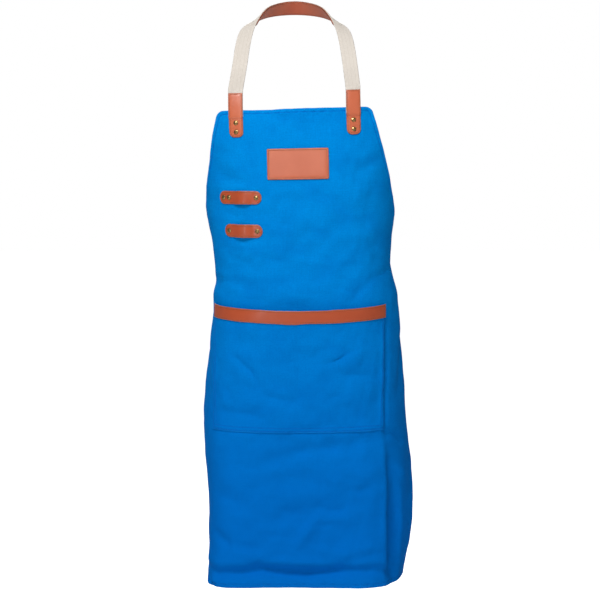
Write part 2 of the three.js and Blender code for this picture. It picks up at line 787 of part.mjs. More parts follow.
addPiece(apron, 'canvas_body', canvasBody(), canvasFinish);
addPiece(apron, 'pocket_panel', pocketPanel(), canvasFinish);
addPiece(apron, 'pocket_band', pocketBand(), leatherFinish);
addPiece(apron, 'name_patch', namePatch(), leatherFinish);
toolLoops.forEach((loop) => addPiece(apron, `${loop.name}_tool_loop`, toolLoop(loop), leatherFinish));
sides.forEach((side) => {
  const neck = strapTab(neckPlace(side), neckRivets(side));
  const waist = strapTab(waistPlace(side), waistRivets(side));
  addPiece(apron, `neck_tab_${side.name}`, neck, leatherFinish);
  addPiece(apron, `waist_tab_${side.name}`, waist, leatherFinish);
});
addPiece(apron, 'neck_strap', neckStrap(), webbingFinish);
addPiece(apron, 'neck_pad', neckPad(), leatherFinish);
addPiece(apron, 'waist_strap_right', rightWaistStrap(), webbingFinish);
addPiece(apron, 'waist_strap_left', leftWaistStrap(), webbingFinish);
addPiece(waistHardware, 'buckle_socket', buckleSocket(), plasticFinish);
addPiece(waistHardware, 'buckle_plug', bucklePlug(), plasticFinish);
addPiece(waistHardware, 'latch_arm_upper', latchArm(1), plasticFinish);
addPiece(waistHardware, 'latch_arm_lower', latchArm(-1), plasticFinish);
addPiece(waistHardware, 'strap_keeper', strapKeeper(), leatherFinish);
rivets.forEach((rivet) => {
  addPiece(apron, `${rivet.name}_cap`, standOn(rivetCap(), rivet, headOffset), brassFinish);
  addPiece(apron, `${rivet.name}_base`, standOn(rivetBase(), rivet, backOffset), brassFinish);
});

export default apron;
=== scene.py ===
# Welding apron: canvas body and pocket, leather trims, webbing straps, brass rivets.
import json
import math
import bpy
import numpy as np
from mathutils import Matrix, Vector


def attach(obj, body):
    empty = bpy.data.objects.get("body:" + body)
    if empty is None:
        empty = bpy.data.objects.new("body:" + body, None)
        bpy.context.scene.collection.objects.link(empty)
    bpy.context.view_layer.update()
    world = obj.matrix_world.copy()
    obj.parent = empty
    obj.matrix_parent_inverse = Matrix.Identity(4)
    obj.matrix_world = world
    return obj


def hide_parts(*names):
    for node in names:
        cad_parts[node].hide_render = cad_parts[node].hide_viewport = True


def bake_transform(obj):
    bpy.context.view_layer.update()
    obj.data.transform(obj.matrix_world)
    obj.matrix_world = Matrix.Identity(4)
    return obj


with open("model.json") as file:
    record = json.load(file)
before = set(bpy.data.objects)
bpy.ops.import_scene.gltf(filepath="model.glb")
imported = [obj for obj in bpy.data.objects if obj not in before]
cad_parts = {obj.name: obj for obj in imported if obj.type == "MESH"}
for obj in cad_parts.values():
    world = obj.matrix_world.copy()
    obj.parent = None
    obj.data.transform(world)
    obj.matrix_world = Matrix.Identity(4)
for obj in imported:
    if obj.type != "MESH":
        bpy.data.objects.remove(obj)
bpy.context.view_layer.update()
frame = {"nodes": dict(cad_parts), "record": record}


bodyOf = {node: body for body, nodes in frame["record"]["behaviour"]["bodies"].items() for node in nodes}
mm = 0.001
wearerToPart = np.array([0, -74, -195.0])  # wearer's frame to the part's, in mm
rightAndLeft = (("right", -1), ("left", 1))

# Drape: how the flat cloth stands round the wearer, in mm.

drape = {
    "length": 900, "halfWidth": 350, "armhole": 300, "tilt": 0.03, "lift": 18,
    "shares": [0, 0.171, 0.343, 0.571, 0.857, 1],
    # level, forward, sideways, turns of the left half, turns of the right half
    "levels": [
        (-120, 60, -2, (1, 10, 34, 66, 80), (1, 10, 34, 66, 80)),
        (0, 104, -1, (1, 12, 40, 74, 90), (1, 14, 44, 78, 92)),
        (100, 122, 2, (2, 20, 58, 88, 104), (3, 25, 63, 92, 112)),
        (200, 130, 3, (4, 21, 64, 108, 130), (5, 28, 74, 112, 132)),
        (300, 128, 5, (5, 26, 69, 116, 140), (7, 30, 84, 118, 138)),
        (372, 134, 3, (4, 18, 61, 104, 120), (7, 30, 84, 104, 114)),
        (600, 142, 5, (2, 13, 56, 90, 92), (3, 17, 73, 92, 94)),
        (780, 146, 4, (1, 6, 52, 84, 96), (1, 15, 85, 92, 94)),
        (900, 148, 4, (0, 3, 64, 84, 88), (0, 5, 84, 92, 92)),
    ],
    "step": 2, "reach": 460, "above": -64, "below": 912,
}

# Creases: where they run on the flat cloth, half width, height (below 0 is a valley),
# and the slope across them (above 0 lifts the side on the left of the run)
creases = [
    # skirt
    (((165, 626), (125, 630), (4, 646), (-76, 674)), 17, -5.4, 3.4),
    (((112, 684), (165, 688)), 12, 2.8, 0),
    (((-60, 770), (40, 742), (150, 736)), 24, -4.2, 2.4),
    (((92, 715), (145, 711)), 9, -3.0, 1.6),
    (((52, 755), (95, 750)), 9, -3.0, 1.4),
    (((-8, 824), (17, 787), (45, 757)), 10, 3.6, -2.2),
    (((5, 776), (88, 780)), 8, -2.6, 1.2),
    (((-66, 798), (-8, 798)), 9, -2.6, 1.2),
    (((-174, 798), (-135, 816), (-139, 848)), 9, -3.8, -1.8),
    (((-112, 815), (-68, 824)), 9, -2.6, 1.4),
    (((-196, 862), (-150, 868), (-108, 864), (-62, 860), (5, 864),
      (52, 864), (99, 862), (150, 862), (200, 872)), 13, -8.0, 11.0),
    (((-120, 842), (-78, 850), (-40, 838)), 10, -3.4, 2.4),
    (((30, 838), (84, 848), (150, 834)), 12, -5.0, 3.6),
    (((-170, 838), (-60, 844), (60, 842), (140, 838)), 16, 3.0, 0.0),
    (((-186, 882), (-150, 893), (-118, 886)), 7, 3.4, 1.2),
    (((-192, 876), (-176, 892), (-158, 908)), 8, -4.4, 2.0),
    (((168, 604), (173, 701), (174, 794), (176, 896)), 9, 2.6, -3.0),
    (((192, 650), (198, 780), (194, 896)), 17, -12.0, 0),
    (((196, 748), (202, 820), (198, 902)), 21, -9.0, -3.0),
    (((216, 726), (224, 821), (232, 890)), 7, 2.4, 1.4),
    (((164, 602), (208, 621), (244, 642)), 9, -4.6, 2.6),
    (((183, 650), (187, 705)), 10, -3.4, 1.0),
    (((198, 676), (260, 714)), 10, 3.2, -2.0),
    (((-30, 690), (40, 700), (60, 720)), 20, -3.4, 1.8),
    (((-150, 720), (-90, 740)), 20, -3.8, 2.0),
    (((-120, 640), (-160, 700)), 12, 1.6, 0.8),
    # waist
    (((-240, 338), (-205, 330), (-127, 323), (-84, 325)), 12, -3.2, 1.4),
    (((-240, 362), (-150, 350)), 12, 1.6, 0),
    (((-104, 356), (-46, 354)), 8, -1.0, 0.6),
    (((230, 302), (150, 318), (116, 341), (92, 368)), 9, -1.5, -1.0),
    (((128, 350), (180, 344)), 11, 1.0, 0),
    # pocket
    (((-118, 458), (-83, 491), (-62, 526)), 8, -3.2, 2.0),
    (((-72, 529), (-29, 541), (10, 548)), 8, -2.6, 1.5),
    (((-56, 436), (-20, 458)), 9, -1.5, 0.9),
    (((166, 398), (163, 480), (161, 592)), 6, 2.8, 0),
    (((178, 388), (174, 500), (171, 610)), 6, -4.0, 0),
    (((40, 484), (86, 468), (118, 451)), 8, -3.0, -1.8),
    (((70, 494), (140, 500)), 8, -2.2, 1.2),
    (((52, 541), (86, 533)), 8, -2.0, 1.0),
    (((-150, 565), (-109, 569), (-68, 572)), 9, -2.8, 1.5),
    (((-150, 520), (-128, 560)), 9, 1.6, -0.8),
    (((1, 396), (4, 487), (2, 585)), 5, -1.0, 0.5),
    (((-20, 590), (10, 598), (60, 588)), 9, -1.8, 0.8),
    # bib
    (((-172, 114), (-92, 128)), 16, -2.8, 1.4),
    (((172, 90), (127, 110), (88, 128)), 11, -1.8, -1.2),
    (((116, 214), (146, 225)), 9, -2.0, 1.0),
    (((140, 256), (165, 264)), 9, -2.0, 0.8),
    (((-62, 11), (-31, 15), (-4, 18)), 7, -1.4, 0.8),
    (((-70, 254), (-33, 273), (-5, 280), (25, 280), (68, 252)), 12, 1.1, -0.4),
    (((-165, 189), (-192, 220)), 9, 2.0, 0),
    (((-132, 188), (-108, 214)), 10, -1.6, 0.8),
    (((130, 30), (108, 66)), 10, -1.8, 0.9),
    (((-60, 190), (-20, 214), (10, 246)), 12, -1.2, 0.8),
    (((60, 160), (90, 196), (96, 240)), 13, -1.2, -0.8),
    # sides
    (((-300, 430), (-230, 460), (-190, 520)), 16, -3.6, 1.6),
    (((-320, 560), (-240, 620)), 18, -3.2, 1.6),
    (((-260, 660), (-230, 800), (-250, 880)), 18, 3.4, -1.6),
    (((300, 420), (240, 470), (210, 560)), 16, -3.6, -1.6),
    (((310, 640), (262, 760), (280, 870)), 18, 3.4, 1.8),
]
# Stiff pieces hold the cloth flat under them: middle across, middle down, half sizes
heldFlat = [(3.5, 103, 60, 31), (-108, 165, 45, 15), (-102, 228, 40, 15), (0, 385, 178, 14)]
heldFlat += [(sign * 110, 10, 16, 44) for name, sign in rightAndLeft]
heldFlat += [(sign * 342, 318, 44, 16) for name, sign in rightAndLeft]
heldFade = 16
heldShare = 0.88


def smoothStep(x, start, end):
    t = np.clip((x - start) / (end - start), 0, 1)
    return t * t * (3 - 2 * t)


# The name patch is stiff, so the cloth behind it stays flat
stiffPatch = {"middle": 3.5, "level": 103, "wide": 59, "high": 30, "fade": 34}


# A smooth curve through values at given marks, straight beyond the last one.
def easeThrough(marks, values, at):
    marks = np.asarray(marks, float)
    at = np.asarray(at, float)
    values = np.broadcast_to(np.asarray(values, float), at.shape + (len(marks),))
    chords = np.diff(values, axis=-1) / np.diff(marks)
    inner = (values[..., 2:] - values[..., :-2]) / (marks[2:] - marks[:-2])
    slopes = np.concatenate([chords[..., :1], inner, chords[..., -1:]], axis=-1)
    i = np.clip(np.searchsorted(marks, at, side="right") - 1, 0, len(marks) - 2)
    span = marks[i + 1] - marks[i]
    past = (at - marks[i]) / span
    t = np.clip(past, 0, 1)
    pick = lambda table, k: np.take_along_axis(table, k[..., None], axis=-1)[..., 0]
    low, high = pick(values, i), pick(values, i + 1)
    rise = t * t * (3 - 2 * t)
    curve = low * (1 - rise) + high * rise
    curve += span * (t * (1 - t) ** 2 * pick(slopes, i) - t * t * (1 - t) * pick(slopes, i + 1))
    return curve + (past - t) * (high - low)


def unit(vectors):
    return vectors / np.maximum(np.linalg.norm(vectors, axis=-1, keepdims=True), 1e-12)


# Distance to a run of points, which side of it, and how far along it each place lies.
def nearRun(u, v, run):
    best = np.full(u.shape, 1e9)
    side = np.zeros(u.shape)
    along = np.zeros(u.shape)
    lengths = [math.dist(a, b) for a, b in zip(run, run[1:])]
    done = 0
    for a, b, length in zip(run, run[1:], lengths):
        dx, dy = (b[0] - a[0]) / length, (b[1] - a[1]) / length
        t = np.clip((u - a[0]) * dx + (v - a[1]) * dy, 0, length)
        ox, oy = u - a[0] - t * dx, v - a[1] - t * dy
        distance = np.hypot(ox, oy)
        closer = distance < best
        best = np.where(closer, distance, best)
        side = np.where(closer, np.sign(ox * dy - oy * dx), side)
        along = np.where(closer, (done + t) / sum(lengths), along)
        done += length
    return best, side, along


# Height of the creases and of the slow unevenness of cloth, over the flat cloth.
def clothRelief(u, v):
    relief = np.zeros(u.shape)
    for run, width, height, slope in creases:
        distance, side, along = nearRun(u, v, run)
        shape = np.exp(-((distance / width) ** 2))
        taper = np.clip(np.sin(np.pi * np.clip(along, 0.02, 0.98)), 0, 1) ** 0.6
        relief += taper * shape * (height + slope * side * distance / width * 1.6)
    waves = np.random.default_rng(11)
    calm = 1 - 0.65 * smoothStep(np.abs(u), 120, 190)  # the sides hang straighter
    for length, height in ((190, 1.5), (84, 1.1), (40, 0.65), (19, 0.26)):
        for k in range(9):
            turn = waves.uniform(0, 2 * np.pi)
            phase = waves.uniform(0, 2 * np.pi)
            stretch = waves.uniform(0.8, 1.25)
            run = (u * np.cos(turn) + v * np.sin(turn)) / (length * stretch)
            relief += calm * height / 3 * np.sin(2 * np.pi * run + phase)
    for middle, level, wide, high in heldFlat:
        inside = smoothStep(np.abs(u - middle), wide + heldFade, wide)
        inside *= smoothStep(np.abs(v - level), high + heldFade, high)
        relief *= 1 - heldShare * inside
    return relief


def layCloth():
    levels = drape["levels"]
    ats = [level[0] for level in levels]
    down = np.arange(drape["above"], drape["below"] + 1, drape["step"], dtype=float)
    half = np.arange(0, drape["reach"] + 1, drape["step"], dtype=float)
    shares = (half[:-1] + drape["step"] / 2) / drape["halfWidth"]
    first = drape["shares"][1]
    sideways = easeThrough(ats, [level[2] for level in levels], down)
    forward = easeThrough(ats, [level[1] for level in levels], down)
    halves = []
    for column in (4, 3):
        turns = [easeThrough(ats, [level[column][k] for level in levels], down) for k in range(5)]
        turns = np.stack([np.zeros(len(down))] + turns, axis=-1)
        grid = np.broadcast_to(shares, (len(down), len(shares)))
        turned = easeThrough(drape["shares"], turns[:, None, :], grid)
        turned = np.where(grid < first, turns[:, 1:2] * (grid / first) ** 2, turned)
        heading = np.radians(turned)
        walk = lambda part: np.concatenate(
            [np.zeros((len(down), 1)), np.cumsum(part * drape["step"], axis=1)], axis=1)
        halves.append((walk(np.cos(heading)), walk(np.sin(heading))))
    (rightX, rightY), (leftX, leftY) = halves
    x = np.concatenate([-rightX[:, :0:-1], leftX], axis=1) + sideways[:, None]
    y = np.concatenate([rightY[:, :0:-1], leftY], axis=1) - forward[:, None]
    across = np.concatenate([-half[:0:-1], half])
    u, v = np.meshgrid(across, down)
    tilt = drape["tilt"] * np.clip(1 - v / (1.1 * drape["armhole"]), 0, 1)
    lift = drape["lift"] * np.clip(1.25 * v / drape["armhole"] - 0.25, 0, 1)
    lift *= np.clip((drape["length"] - v) / (0.67 * (drape["length"] - drape["armhole"])), 0, 1)
    z = tilt * u + lift * (u / drape["halfWidth"]) ** 2 - v
    places = np.stack([x, y, z], axis=-1)
    relief = clothRelief(u, v)
    places += facing(places) * relief[..., None]
    outs = facing(places)
    row = int((stiffPatch["level"] - drape["above"]) / drape["step"])
    column = round((stiffPatch["middle"] + drape["reach"]) / drape["step"])
    centre, out = places[row, column], outs[row, column]
    wide, high, fade = stiffPatch["wide"], stiffPatch["high"], stiffPatch["fade"]
    hold = smoothStep(np.abs(u - stiffPatch["middle"]), wide + fade, wide)
    hold *= smoothStep(np.abs(v - stiffPatch["level"]), high + fade, high)
    places += out * (((centre - places) @ out) * hold)[..., None]
    return places, facing(places)


def facing(places):
    return unit(np.cross(np.gradient(places, axis=0), np.gradient(places, axis=1)))


clothPlaces, clothFacing = layCloth()
print("cloth laid")


# The value in a table at row i and column j, with shares s and t of the way to the next ones.
def between(table, i, j, s, t):
    upper = table[i, j] * (1 - t) + table[i, j + 1] * t
    lower = table[i + 1, j] * (1 - t) + table[i + 1, j + 1] * t
    return upper * (1 - s) + lower * s


# Place and outward direction on the cloth; u runs across, v down, lift stands off it.
def onCloth(u, v, lift=0.0):
    u, v, lift = np.broadcast_arrays(*(np.asarray(x, float) for x in (u, v, lift)))
    rows, columns = clothPlaces.shape[:2]
    a = np.clip((v - drape["above"]) / drape["step"], 0, rows - 1.001)
    b = np.clip((u + drape["reach"]) / drape["step"], 0, columns - 1.001)
    i, j = a.astype(int), b.astype(int)
    s, t = (a - i)[..., None], (b - j)[..., None]
    out = unit(between(clothFacing, i, j, s, t))
    return between(clothPlaces, i, j, s, t) + out * lift[..., None], out


# Making flat pieces and laying them.


def deselect():
    if bpy.context.mode != "OBJECT":
        bpy.ops.object.mode_set(mode="OBJECT")
    bpy.ops.object.select_all(action="DESELECT")


def readPlaces(mesh):
    places = np.empty(len(mesh.vertices) * 3)
    mesh.vertices.foreach_get("co", places)
    return places.reshape(-1, 3)


def writePlaces(mesh, places):
    mesh.vertices.foreach_set("co", np.ascontiguousarray(places, dtype=np.float32).ravel())
    mesh.update()


def toPart(places):
    return (places + wearerToPart) * mm


def writeFlatMap(mesh, flat):
    layer = mesh.uv_layers.get("flat") or mesh.uv_layers.new(name="flat")
    corners = np.empty(len(mesh.loops), dtype=np.int32)
    mesh.loops.foreach_get("vertex_index", corners)
    layer.data.foreach_set("uv", flat[corners].astype(np.float32).ravel())


# Distance from places to the closed outline of a flat piece.
def toOutline(u, v, outline):
    best = np.full(u.shape, 1e9)
    for a, b in zip(outline, np.roll(outline, -1, axis=0)):
        run = b - a
        square = max(run @ run, 1e-12)
        t = np.clip(((u - a[0]) * run[0] + (v - a[1]) * run[1]) / square, 0, 1)
        best = np.minimum(best, np.hypot(u - a[0] - t * run[0], v - a[1] - t * run[1]))
    return best


def levelsBetween(top, bottom, edgeSteps, spacing):
    inset = edgeSteps[-1]
    steps = max(1, round((bottom - top - 2 * inset) / spacing))
    middle = np.linspace(top + inset, bottom - inset, steps + 1)
    near = np.array(edgeSteps[:-1], float)
    return np.concatenate([top + near, middle, bottom - near[::-1]])


# A flat piece cut to its outline, given a back, then laid in place. spanAt gives the left and
# right edge at each level, and layers the lift of the front and back over the edge distance.
def layPiece(name, levels, spanAt, place, layers, edgeSteps, spacing, toSeam, slant=None):
    spans = np.array([spanAt(level) for level in levels])
    widest = (spans[:, 1] - spans[:, 0]).max()
    inner = max(2, round((widest - 2 * edgeSteps[-1]) / spacing))
    near = np.array(edgeSteps[:-1], float)
    table = []
    for k, (left, right) in enumerate(spans):
        lean = 1 if slant is None else slant(levels[k])
        steps = near * lean
        middle = np.linspace(left + edgeSteps[-1] * lean, right - edgeSteps[-1] * lean, inner + 1)
        table.append(np.concatenate([left + steps, middle, right - steps[::-1]]))
    table = np.array(table)
    rows, columns = table.shape
    deselect()
    bpy.ops.mesh.primitive_grid_add(x_subdivisions=columns - 1, y_subdivisions=rows - 1, size=2)
    piece = bpy.context.object
    piece.name = piece.data.name = name
    mesh = piece.data
    grid = readPlaces(mesh)
    column = np.rint((grid[:, 0] + 1) / 2 * (columns - 1)).astype(int)
    row = np.rint((1 - grid[:, 1]) / 2 * (rows - 1)).astype(int)
    u, v = table[row, column], np.asarray(levels)[row]
    writePlaces(mesh, np.stack([u, np.zeros(len(u)), -v], axis=-1) * mm)
    backing = piece.modifiers.new("backing", "SOLIDIFY")
    backing.thickness = mm
    backing.offset = -1
    bpy.ops.object.modifier_apply(modifier="backing")
    outline = np.concatenate([
        np.stack([spans[:, 0], levels], axis=-1),
        np.stack([spans[::-1, 1], levels[::-1]], axis=-1),
    ])
    edge = toOutline(u, v, outline)
    u, v, edge = (np.concatenate([x, x]) for x in (u, v, edge))
    front = np.arange(len(u)) < len(u) // 2
    lift = layers(edge, front, u, v)
    writePlaces(mesh, toPart(place(u, v, lift)))
    writeFlatMap(mesh, np.stack([u, -v], axis=-1) * mm)
    for label, distance in (("edge", edge), ("seam", toSeam(edge, u, v))):
        shade = mesh.attributes.new(label, "FLOAT", "POINT")
        shade.data.foreach_set("value", distance.astype(np.float32))
    bpy.ops.object.shade_smooth()
    return piece


def clothPlace(u, v, lift):
    return onCloth(u, v, lift)[0]


def evenLift(height):
    return lambda u, v: height + 0 * u


# Finishes.


def addNode(tree, kind, wires=None, **settings):
    node = tree.nodes.new("ShaderNode" + kind)
    for key, value in settings.items():
        setattr(node, key, value)
    for socket, value in (wires or {}).items():
        if isinstance(value, bpy.types.NodeSocket):
            tree.links.new(value, node.inputs[socket])
        else:
            node.inputs[socket].default_value = value
    return node


def calc(tree, operation, a, b=0.0, clamp=False):
    return addNode(tree, "Math", {0: a, 1: b}, operation=operation, use_clamp=clamp).outputs[0]


def plus(tree, a, b):
    return calc(tree, "ADD", a, b)


def times(tree, a, b):
    return calc(tree, "MULTIPLY", a, b)


def ramp(tree, value, low, high, start=0.0, end=1.0):
    wires = {"Value": value, "From Min": low, "From Max": high, "To Min": start, "To Max": end}
    return addNode(tree, "MapRange", wires, interpolation_type="SMOOTHSTEP").outputs[0]


def mixColours(tree, share, a, b, mode="MIX"):
    node = addNode(tree, "Mix", {0: share, 6: a, 7: b}, data_type="RGBA", blend_type=mode)
    return node.outputs[2]


def noise(tree, vector, scale, stretch=(1, 1, 1), detail=3.0):
    placed = addNode(tree, "Mapping", {"Vector": vector, "Scale": stretch}).outputs[0]
    return addNode(tree, "TexNoise", {"Vector": placed, "Scale": scale, "Detail": detail}).outputs["Fac"]


def newGroup(name, takes, gives):
    group = bpy.data.node_groups.new(name, "ShaderNodeTree")
    for label, kind, value in takes:
        socket = group.interface.new_socket(name=label, in_out="INPUT", socket_type="NodeSocket" + kind)
        if value is not None:
            socket.default_value = value
    for label in gives:
        group.interface.new_socket(name=label, in_out="OUTPUT", socket_type="NodeSocketFloat")
    return group, group.nodes.new("NodeGroupInput").outputs, group.nodes.new("NodeGroupOutput").inputs


# Plain weave: warp and weft pass over and under each other, with slubs along both.
def makeWeaveGroup():
    group, takes, gives = newGroup(
        "plainWeave", [("Vector", "Vector", None), ("Threads", "Float", 1500.0)], ["Height", "Slub"])
    wander = noise(group, takes["Vector"], 260.0, (1, 1, 1), 1.0)
    parts = addNode(group, "SeparateXYZ", {0: takes["Vector"]}).outputs
    waves = []
    for k in (0, 1):
        turned = times(group, times(group, parts[k], takes["Threads"]), math.pi)
        waves.append(calc(group, "SINE", plus(group, turned, times(group, wander, 3.0))))
    over = times(group, waves[0], waves[1])
    ribs = plus(group, calc(group, "ABSOLUTE", waves[0]), calc(group, "ABSOLUTE", waves[1]))
    height = plus(group, times(group, over, 0.5), times(group, ribs, 0.3))
    group.links.new(height, gives["Height"])
    warp = noise(group, takes["Vector"], 1.0, (620, 34, 1), 2.0)
    weft = noise(group, takes["Vector"], 1.0, (30, 560, 1), 2.0)
    group.links.new(times(group, plus(group, warp, weft), 0.5), gives["Slub"])
    return group


# Webbing: a herringbone of ribs that run slantwise and turn back at even steps across.
def makeRibGroup():
    group, takes, gives = newGroup(
        "webbingRibs", [("Vector", "Vector", None), ("Ribs", "Float", 620.0), ("Columns", "Float", 143.0)],
        ["Height", "Slub"])
    parts = addNode(group, "SeparateXYZ", {0: takes["Vector"]}).outputs
    turned = calc(group, "PINGPONG", times(group, parts[0], takes["Columns"]), 1.0)
    slant = calc(group, "DIVIDE", turned, times(group, takes["Columns"], 0.8))
    run = times(group, plus(group, parts[1], slant), takes["Ribs"])
    rib = calc(group, "ABSOLUTE", calc(group, "SINE", times(group, run, math.pi)))
    seam = ramp(group, calc(group, "ABSOLUTE", calc(group, "SUBTRACT", turned, 0.5)), 0.5, 0.4)
    group.links.new(times(group, rib, seam), gives["Height"])
    group.links.new(noise(group, takes["Vector"], 1.0, (900, 160, 1), 2.0), gives["Slub"])
    return group


# Leather grain: small pebbles between creases, over slower lows and highs.
def makeGrainGroup():
    group, takes, gives = newGroup(
        "leatherGrain", [("Vector", "Vector", None), ("Pebbles", "Float", 900.0)], ["Height", "Shade"])
    cells = addNode(group, "TexVoronoi", {"Vector": takes["Vector"], "Scale": takes["Pebbles"]},
                    feature="DISTANCE_TO_EDGE").outputs["Distance"]
    pebble = ramp(group, cells, 0.0, 0.22)
    slow = noise(group, takes["Vector"], 24.0, (1, 1, 1), 3.0)
    fine = noise(group, takes["Vector"], 2400.0, (1, 1, 1), 2.0)
    height = plus(group, times(group, pebble, 0.6), times(group, fine, 0.4))
    group.links.new(height, gives["Height"])
    group.links.new(slow, gives["Shade"])
    return group


# How near the cut edge a place is, from 1 at the edge to 0 at the reach, roughened by wear.
def makeEdgeGroup():
    group, takes, gives = newGroup(
        "edgeWear", [("Edge", "Float", 0.0), ("Reach", "Float", 2.0), ("Vector", "Vector", None)], ["Mask"])
    rough = times(group, calc(group, "SUBTRACT", noise(group, takes["Vector"], 160.0), 0.5), 1.6)
    share = calc(group, "DIVIDE", plus(group, takes["Edge"], rough), takes["Reach"])
    group.links.new(ramp(group, share, 1.0, 0.1), gives["Mask"])
    return group


weaveGroup, ribGroup = makeWeaveGroup(), makeRibGroup()
grainGroup, edgeGroup = makeGrainGroup(), makeEdgeGroup()


def placeGroup(tree, group, wires):
    node = addNode(tree, "Group", node_tree=group)
    for socket, value in wires.items():
        if isinstance(value, bpy.types.NodeSocket):
            tree.links.new(value, node.inputs[socket])
        else:
            node.inputs[socket].default_value = value
    return node.outputs


def newFinish(name, plain):
    finish = bpy.data.materials.new(name)
    finish.use_nodes = True
    tree = finish.node_tree
    shader = tree.nodes["Principled BSDF"]
    for socket, value in plain.items():
        shader.inputs[socket].default_value = value
    return finish, tree, shader.inputs


def joinFinish(tree, shader, tone, rough, normal):
    for socket, wire in (("Base Color", tone), ("Roughness", rough), ("Normal", normal)):
        tree.links.new(wire, shader[socket])


def bump(tree, height, strength, distance):
    return addNode(tree, "Bump", {"Height": height, "Strength": strength, "Distance": distance}).outputs[0]


# Canvas colours. The top and bottom blues are one dye, lighter at the bib and darker towards the hem: painted shade
# where the light falls off down the apron. The deeper blue serves random mottling, slubs and flecks, and is also
# painted shade in the weave hollows and along the stitch groove. The paler blue is wear at the cut edges.
canvasLook = {
    "top": (0.0, 0.280, 0.75, 1), "bottom": (0.0, 0.145, 0.56, 1),
    "deepToneAndShade": (0.0, 0.13, 0.50, 1), "pale": (0.02, 0.31, 0.78, 1),
}


def makeCanvas():
    finish, tree, shader = newFinish("dyedCanvas", {
        "Specular IOR Level": 0.02, "Sheen Weight": 0.06, "Sheen Roughness": 0.4,
        "Sheen Tint": (0.0, 0.4, 1, 1), "IOR": 1.4,
    })
    flat = addNode(tree, "UVMap", uv_map="flat").outputs[0]
    down = addNode(tree, "SeparateXYZ", {0: flat}).outputs[1]
    yarn = placeGroup(tree, weaveGroup, {"Vector": flat, "Threads": 1350.0})
    # Painted shade: the canvas blue darkens from the bib down to the hem.
    tone = mixColours(tree, ramp(tree, down, -0.1, -0.85), canvasLook["top"], canvasLook["bottom"])
    clouds = noise(tree, flat, 15.0, (1, 1.7, 1), 5.0)
    tone = mixColours(tree, ramp(tree, clouds, 0.42, 0.68, 0.0, 0.24), tone, canvasLook["deepToneAndShade"])
    tone = mixColours(tree, ramp(tree, yarn["Slub"], 0.38, 0.7, 0.0, 0.26), tone, canvasLook["deepToneAndShade"])
    # Painted shade: the canvas darkens towards the deeper blue in the low places of the weave.
    weaveHollowShade = ramp(tree, yarn["Height"], 0.1, 0.75, 0.24, 0.0)
    tone = mixColours(tree, weaveHollowShade, tone, canvasLook["deepToneAndShade"])
    flecks = noise(tree, flat, 330.0, (1, 1, 1), 3.0)
    tone = mixColours(tree, ramp(tree, flecks, 0.35, 0.7, 0.0, 0.3), tone, canvasLook["deepToneAndShade"])
    # Painted shade: the canvas darkens towards the deeper blue along the stitch groove.
    seam = addNode(tree, "Attribute", attribute_name="seam").outputs["Fac"]
    tone = mixColours(tree, ramp(tree, seam, 1.5, 0.4, 0.0, 0.5), tone, canvasLook["deepToneAndShade"])
    edge = addNode(tree, "Attribute", attribute_name="edge").outputs["Fac"]
    worn = placeGroup(tree, edgeGroup, {"Edge": edge, "Reach": 1.6, "Vector": flat})["Mask"]
    tone = mixColours(tree, times(tree, worn, 0.35), tone, canvasLook["pale"])
    tree.links.new(tone, shader["Base Color"])
    tree.links.new(ramp(tree, yarn["Slub"], 0.3, 0.7, 0.82, 0.95), shader["Roughness"])
    weave = bump(tree, yarn["Height"], 0.35, 0.00025)
    slubs = addNode(tree, "Bump", {
        "Height": yarn["Slub"], "Strength": 0.3, "Distance": 0.0004, "Normal": weave}).outputs[0]
    tree.links.new(slubs, shader["Normal"])
    return finish


# Leather colours: face and dark are the dye and its random darker tone, and dark is also painted shade in the grain
# creases. edge is the dark edge paint, also used as painted shade in the stitch groove. rub is wear at the edges.
leatherLooks = {
    "tanLeather": {"face": (0.58, 0.135, 0.058, 1), "dark": (0.47, 0.098, 0.038, 1),
                   "edge": (0.17, 0.042, 0.018, 1), "rub": (0.68, 0.22, 0.11, 1)},
    "brownLeather": {"face": (0.47, 0.078, 0.024, 1), "dark": (0.37, 0.054, 0.015, 1),
                     "edge": (0.30, 0.085, 0.038, 1), "rub": (0.62, 0.17, 0.08, 1)},
}


def makeLeather(name):
    leatherLook = leatherLooks[name]
    finish, tree, shader = newFinish(name, {
        "Specular IOR Level": 0.45, "Coat Weight": 0.25, "Coat Roughness": 0.22, "IOR": 1.46,
    })
    place = addNode(tree, "TexCoord").outputs["Object"]
    grain = placeGroup(tree, grainGroup, {"Vector": place, "Pebbles": 850.0})
    shade = ramp(tree, grain["Shade"], 0.3, 0.75, 0.0, 0.4)
    tone = mixColours(tree, shade, leatherLook["face"], leatherLook["dark"])
    # Painted shade: the leather darkens in the low creases between the grain pebbles.
    tone = mixColours(tree, ramp(tree, grain["Height"], 0.5, 0.1, 0.0, 0.25), tone, leatherLook["dark"])
    edge = addNode(tree, "Attribute", attribute_name="edge").outputs["Fac"]
    seam = addNode(tree, "Attribute", attribute_name="seam").outputs["Fac"]
    # Painted shade: the leather darkens towards the edge colour along the stitch groove.
    tone = mixColours(tree, ramp(tree, seam, 0.8, 0.2, 0.0, 0.45), tone, leatherLook["edge"])
    rim = placeGroup(tree, edgeGroup, {"Edge": edge, "Reach": 1.5, "Vector": place})["Mask"]
    rubbed = placeGroup(tree, edgeGroup, {"Edge": edge, "Reach": 3.2, "Vector": place})["Mask"]
    tone = mixColours(tree, times(tree, rubbed, 0.3), tone, leatherLook["rub"])
    tone = mixColours(tree, times(tree, rim, 0.85), tone, leatherLook["edge"])
    joinFinish(tree, shader, tone, ramp(tree, grain["Shade"], 0.3, 0.7, 0.32, 0.42),
               bump(tree, grain["Height"], 0.22, 0.0002))
    return finish


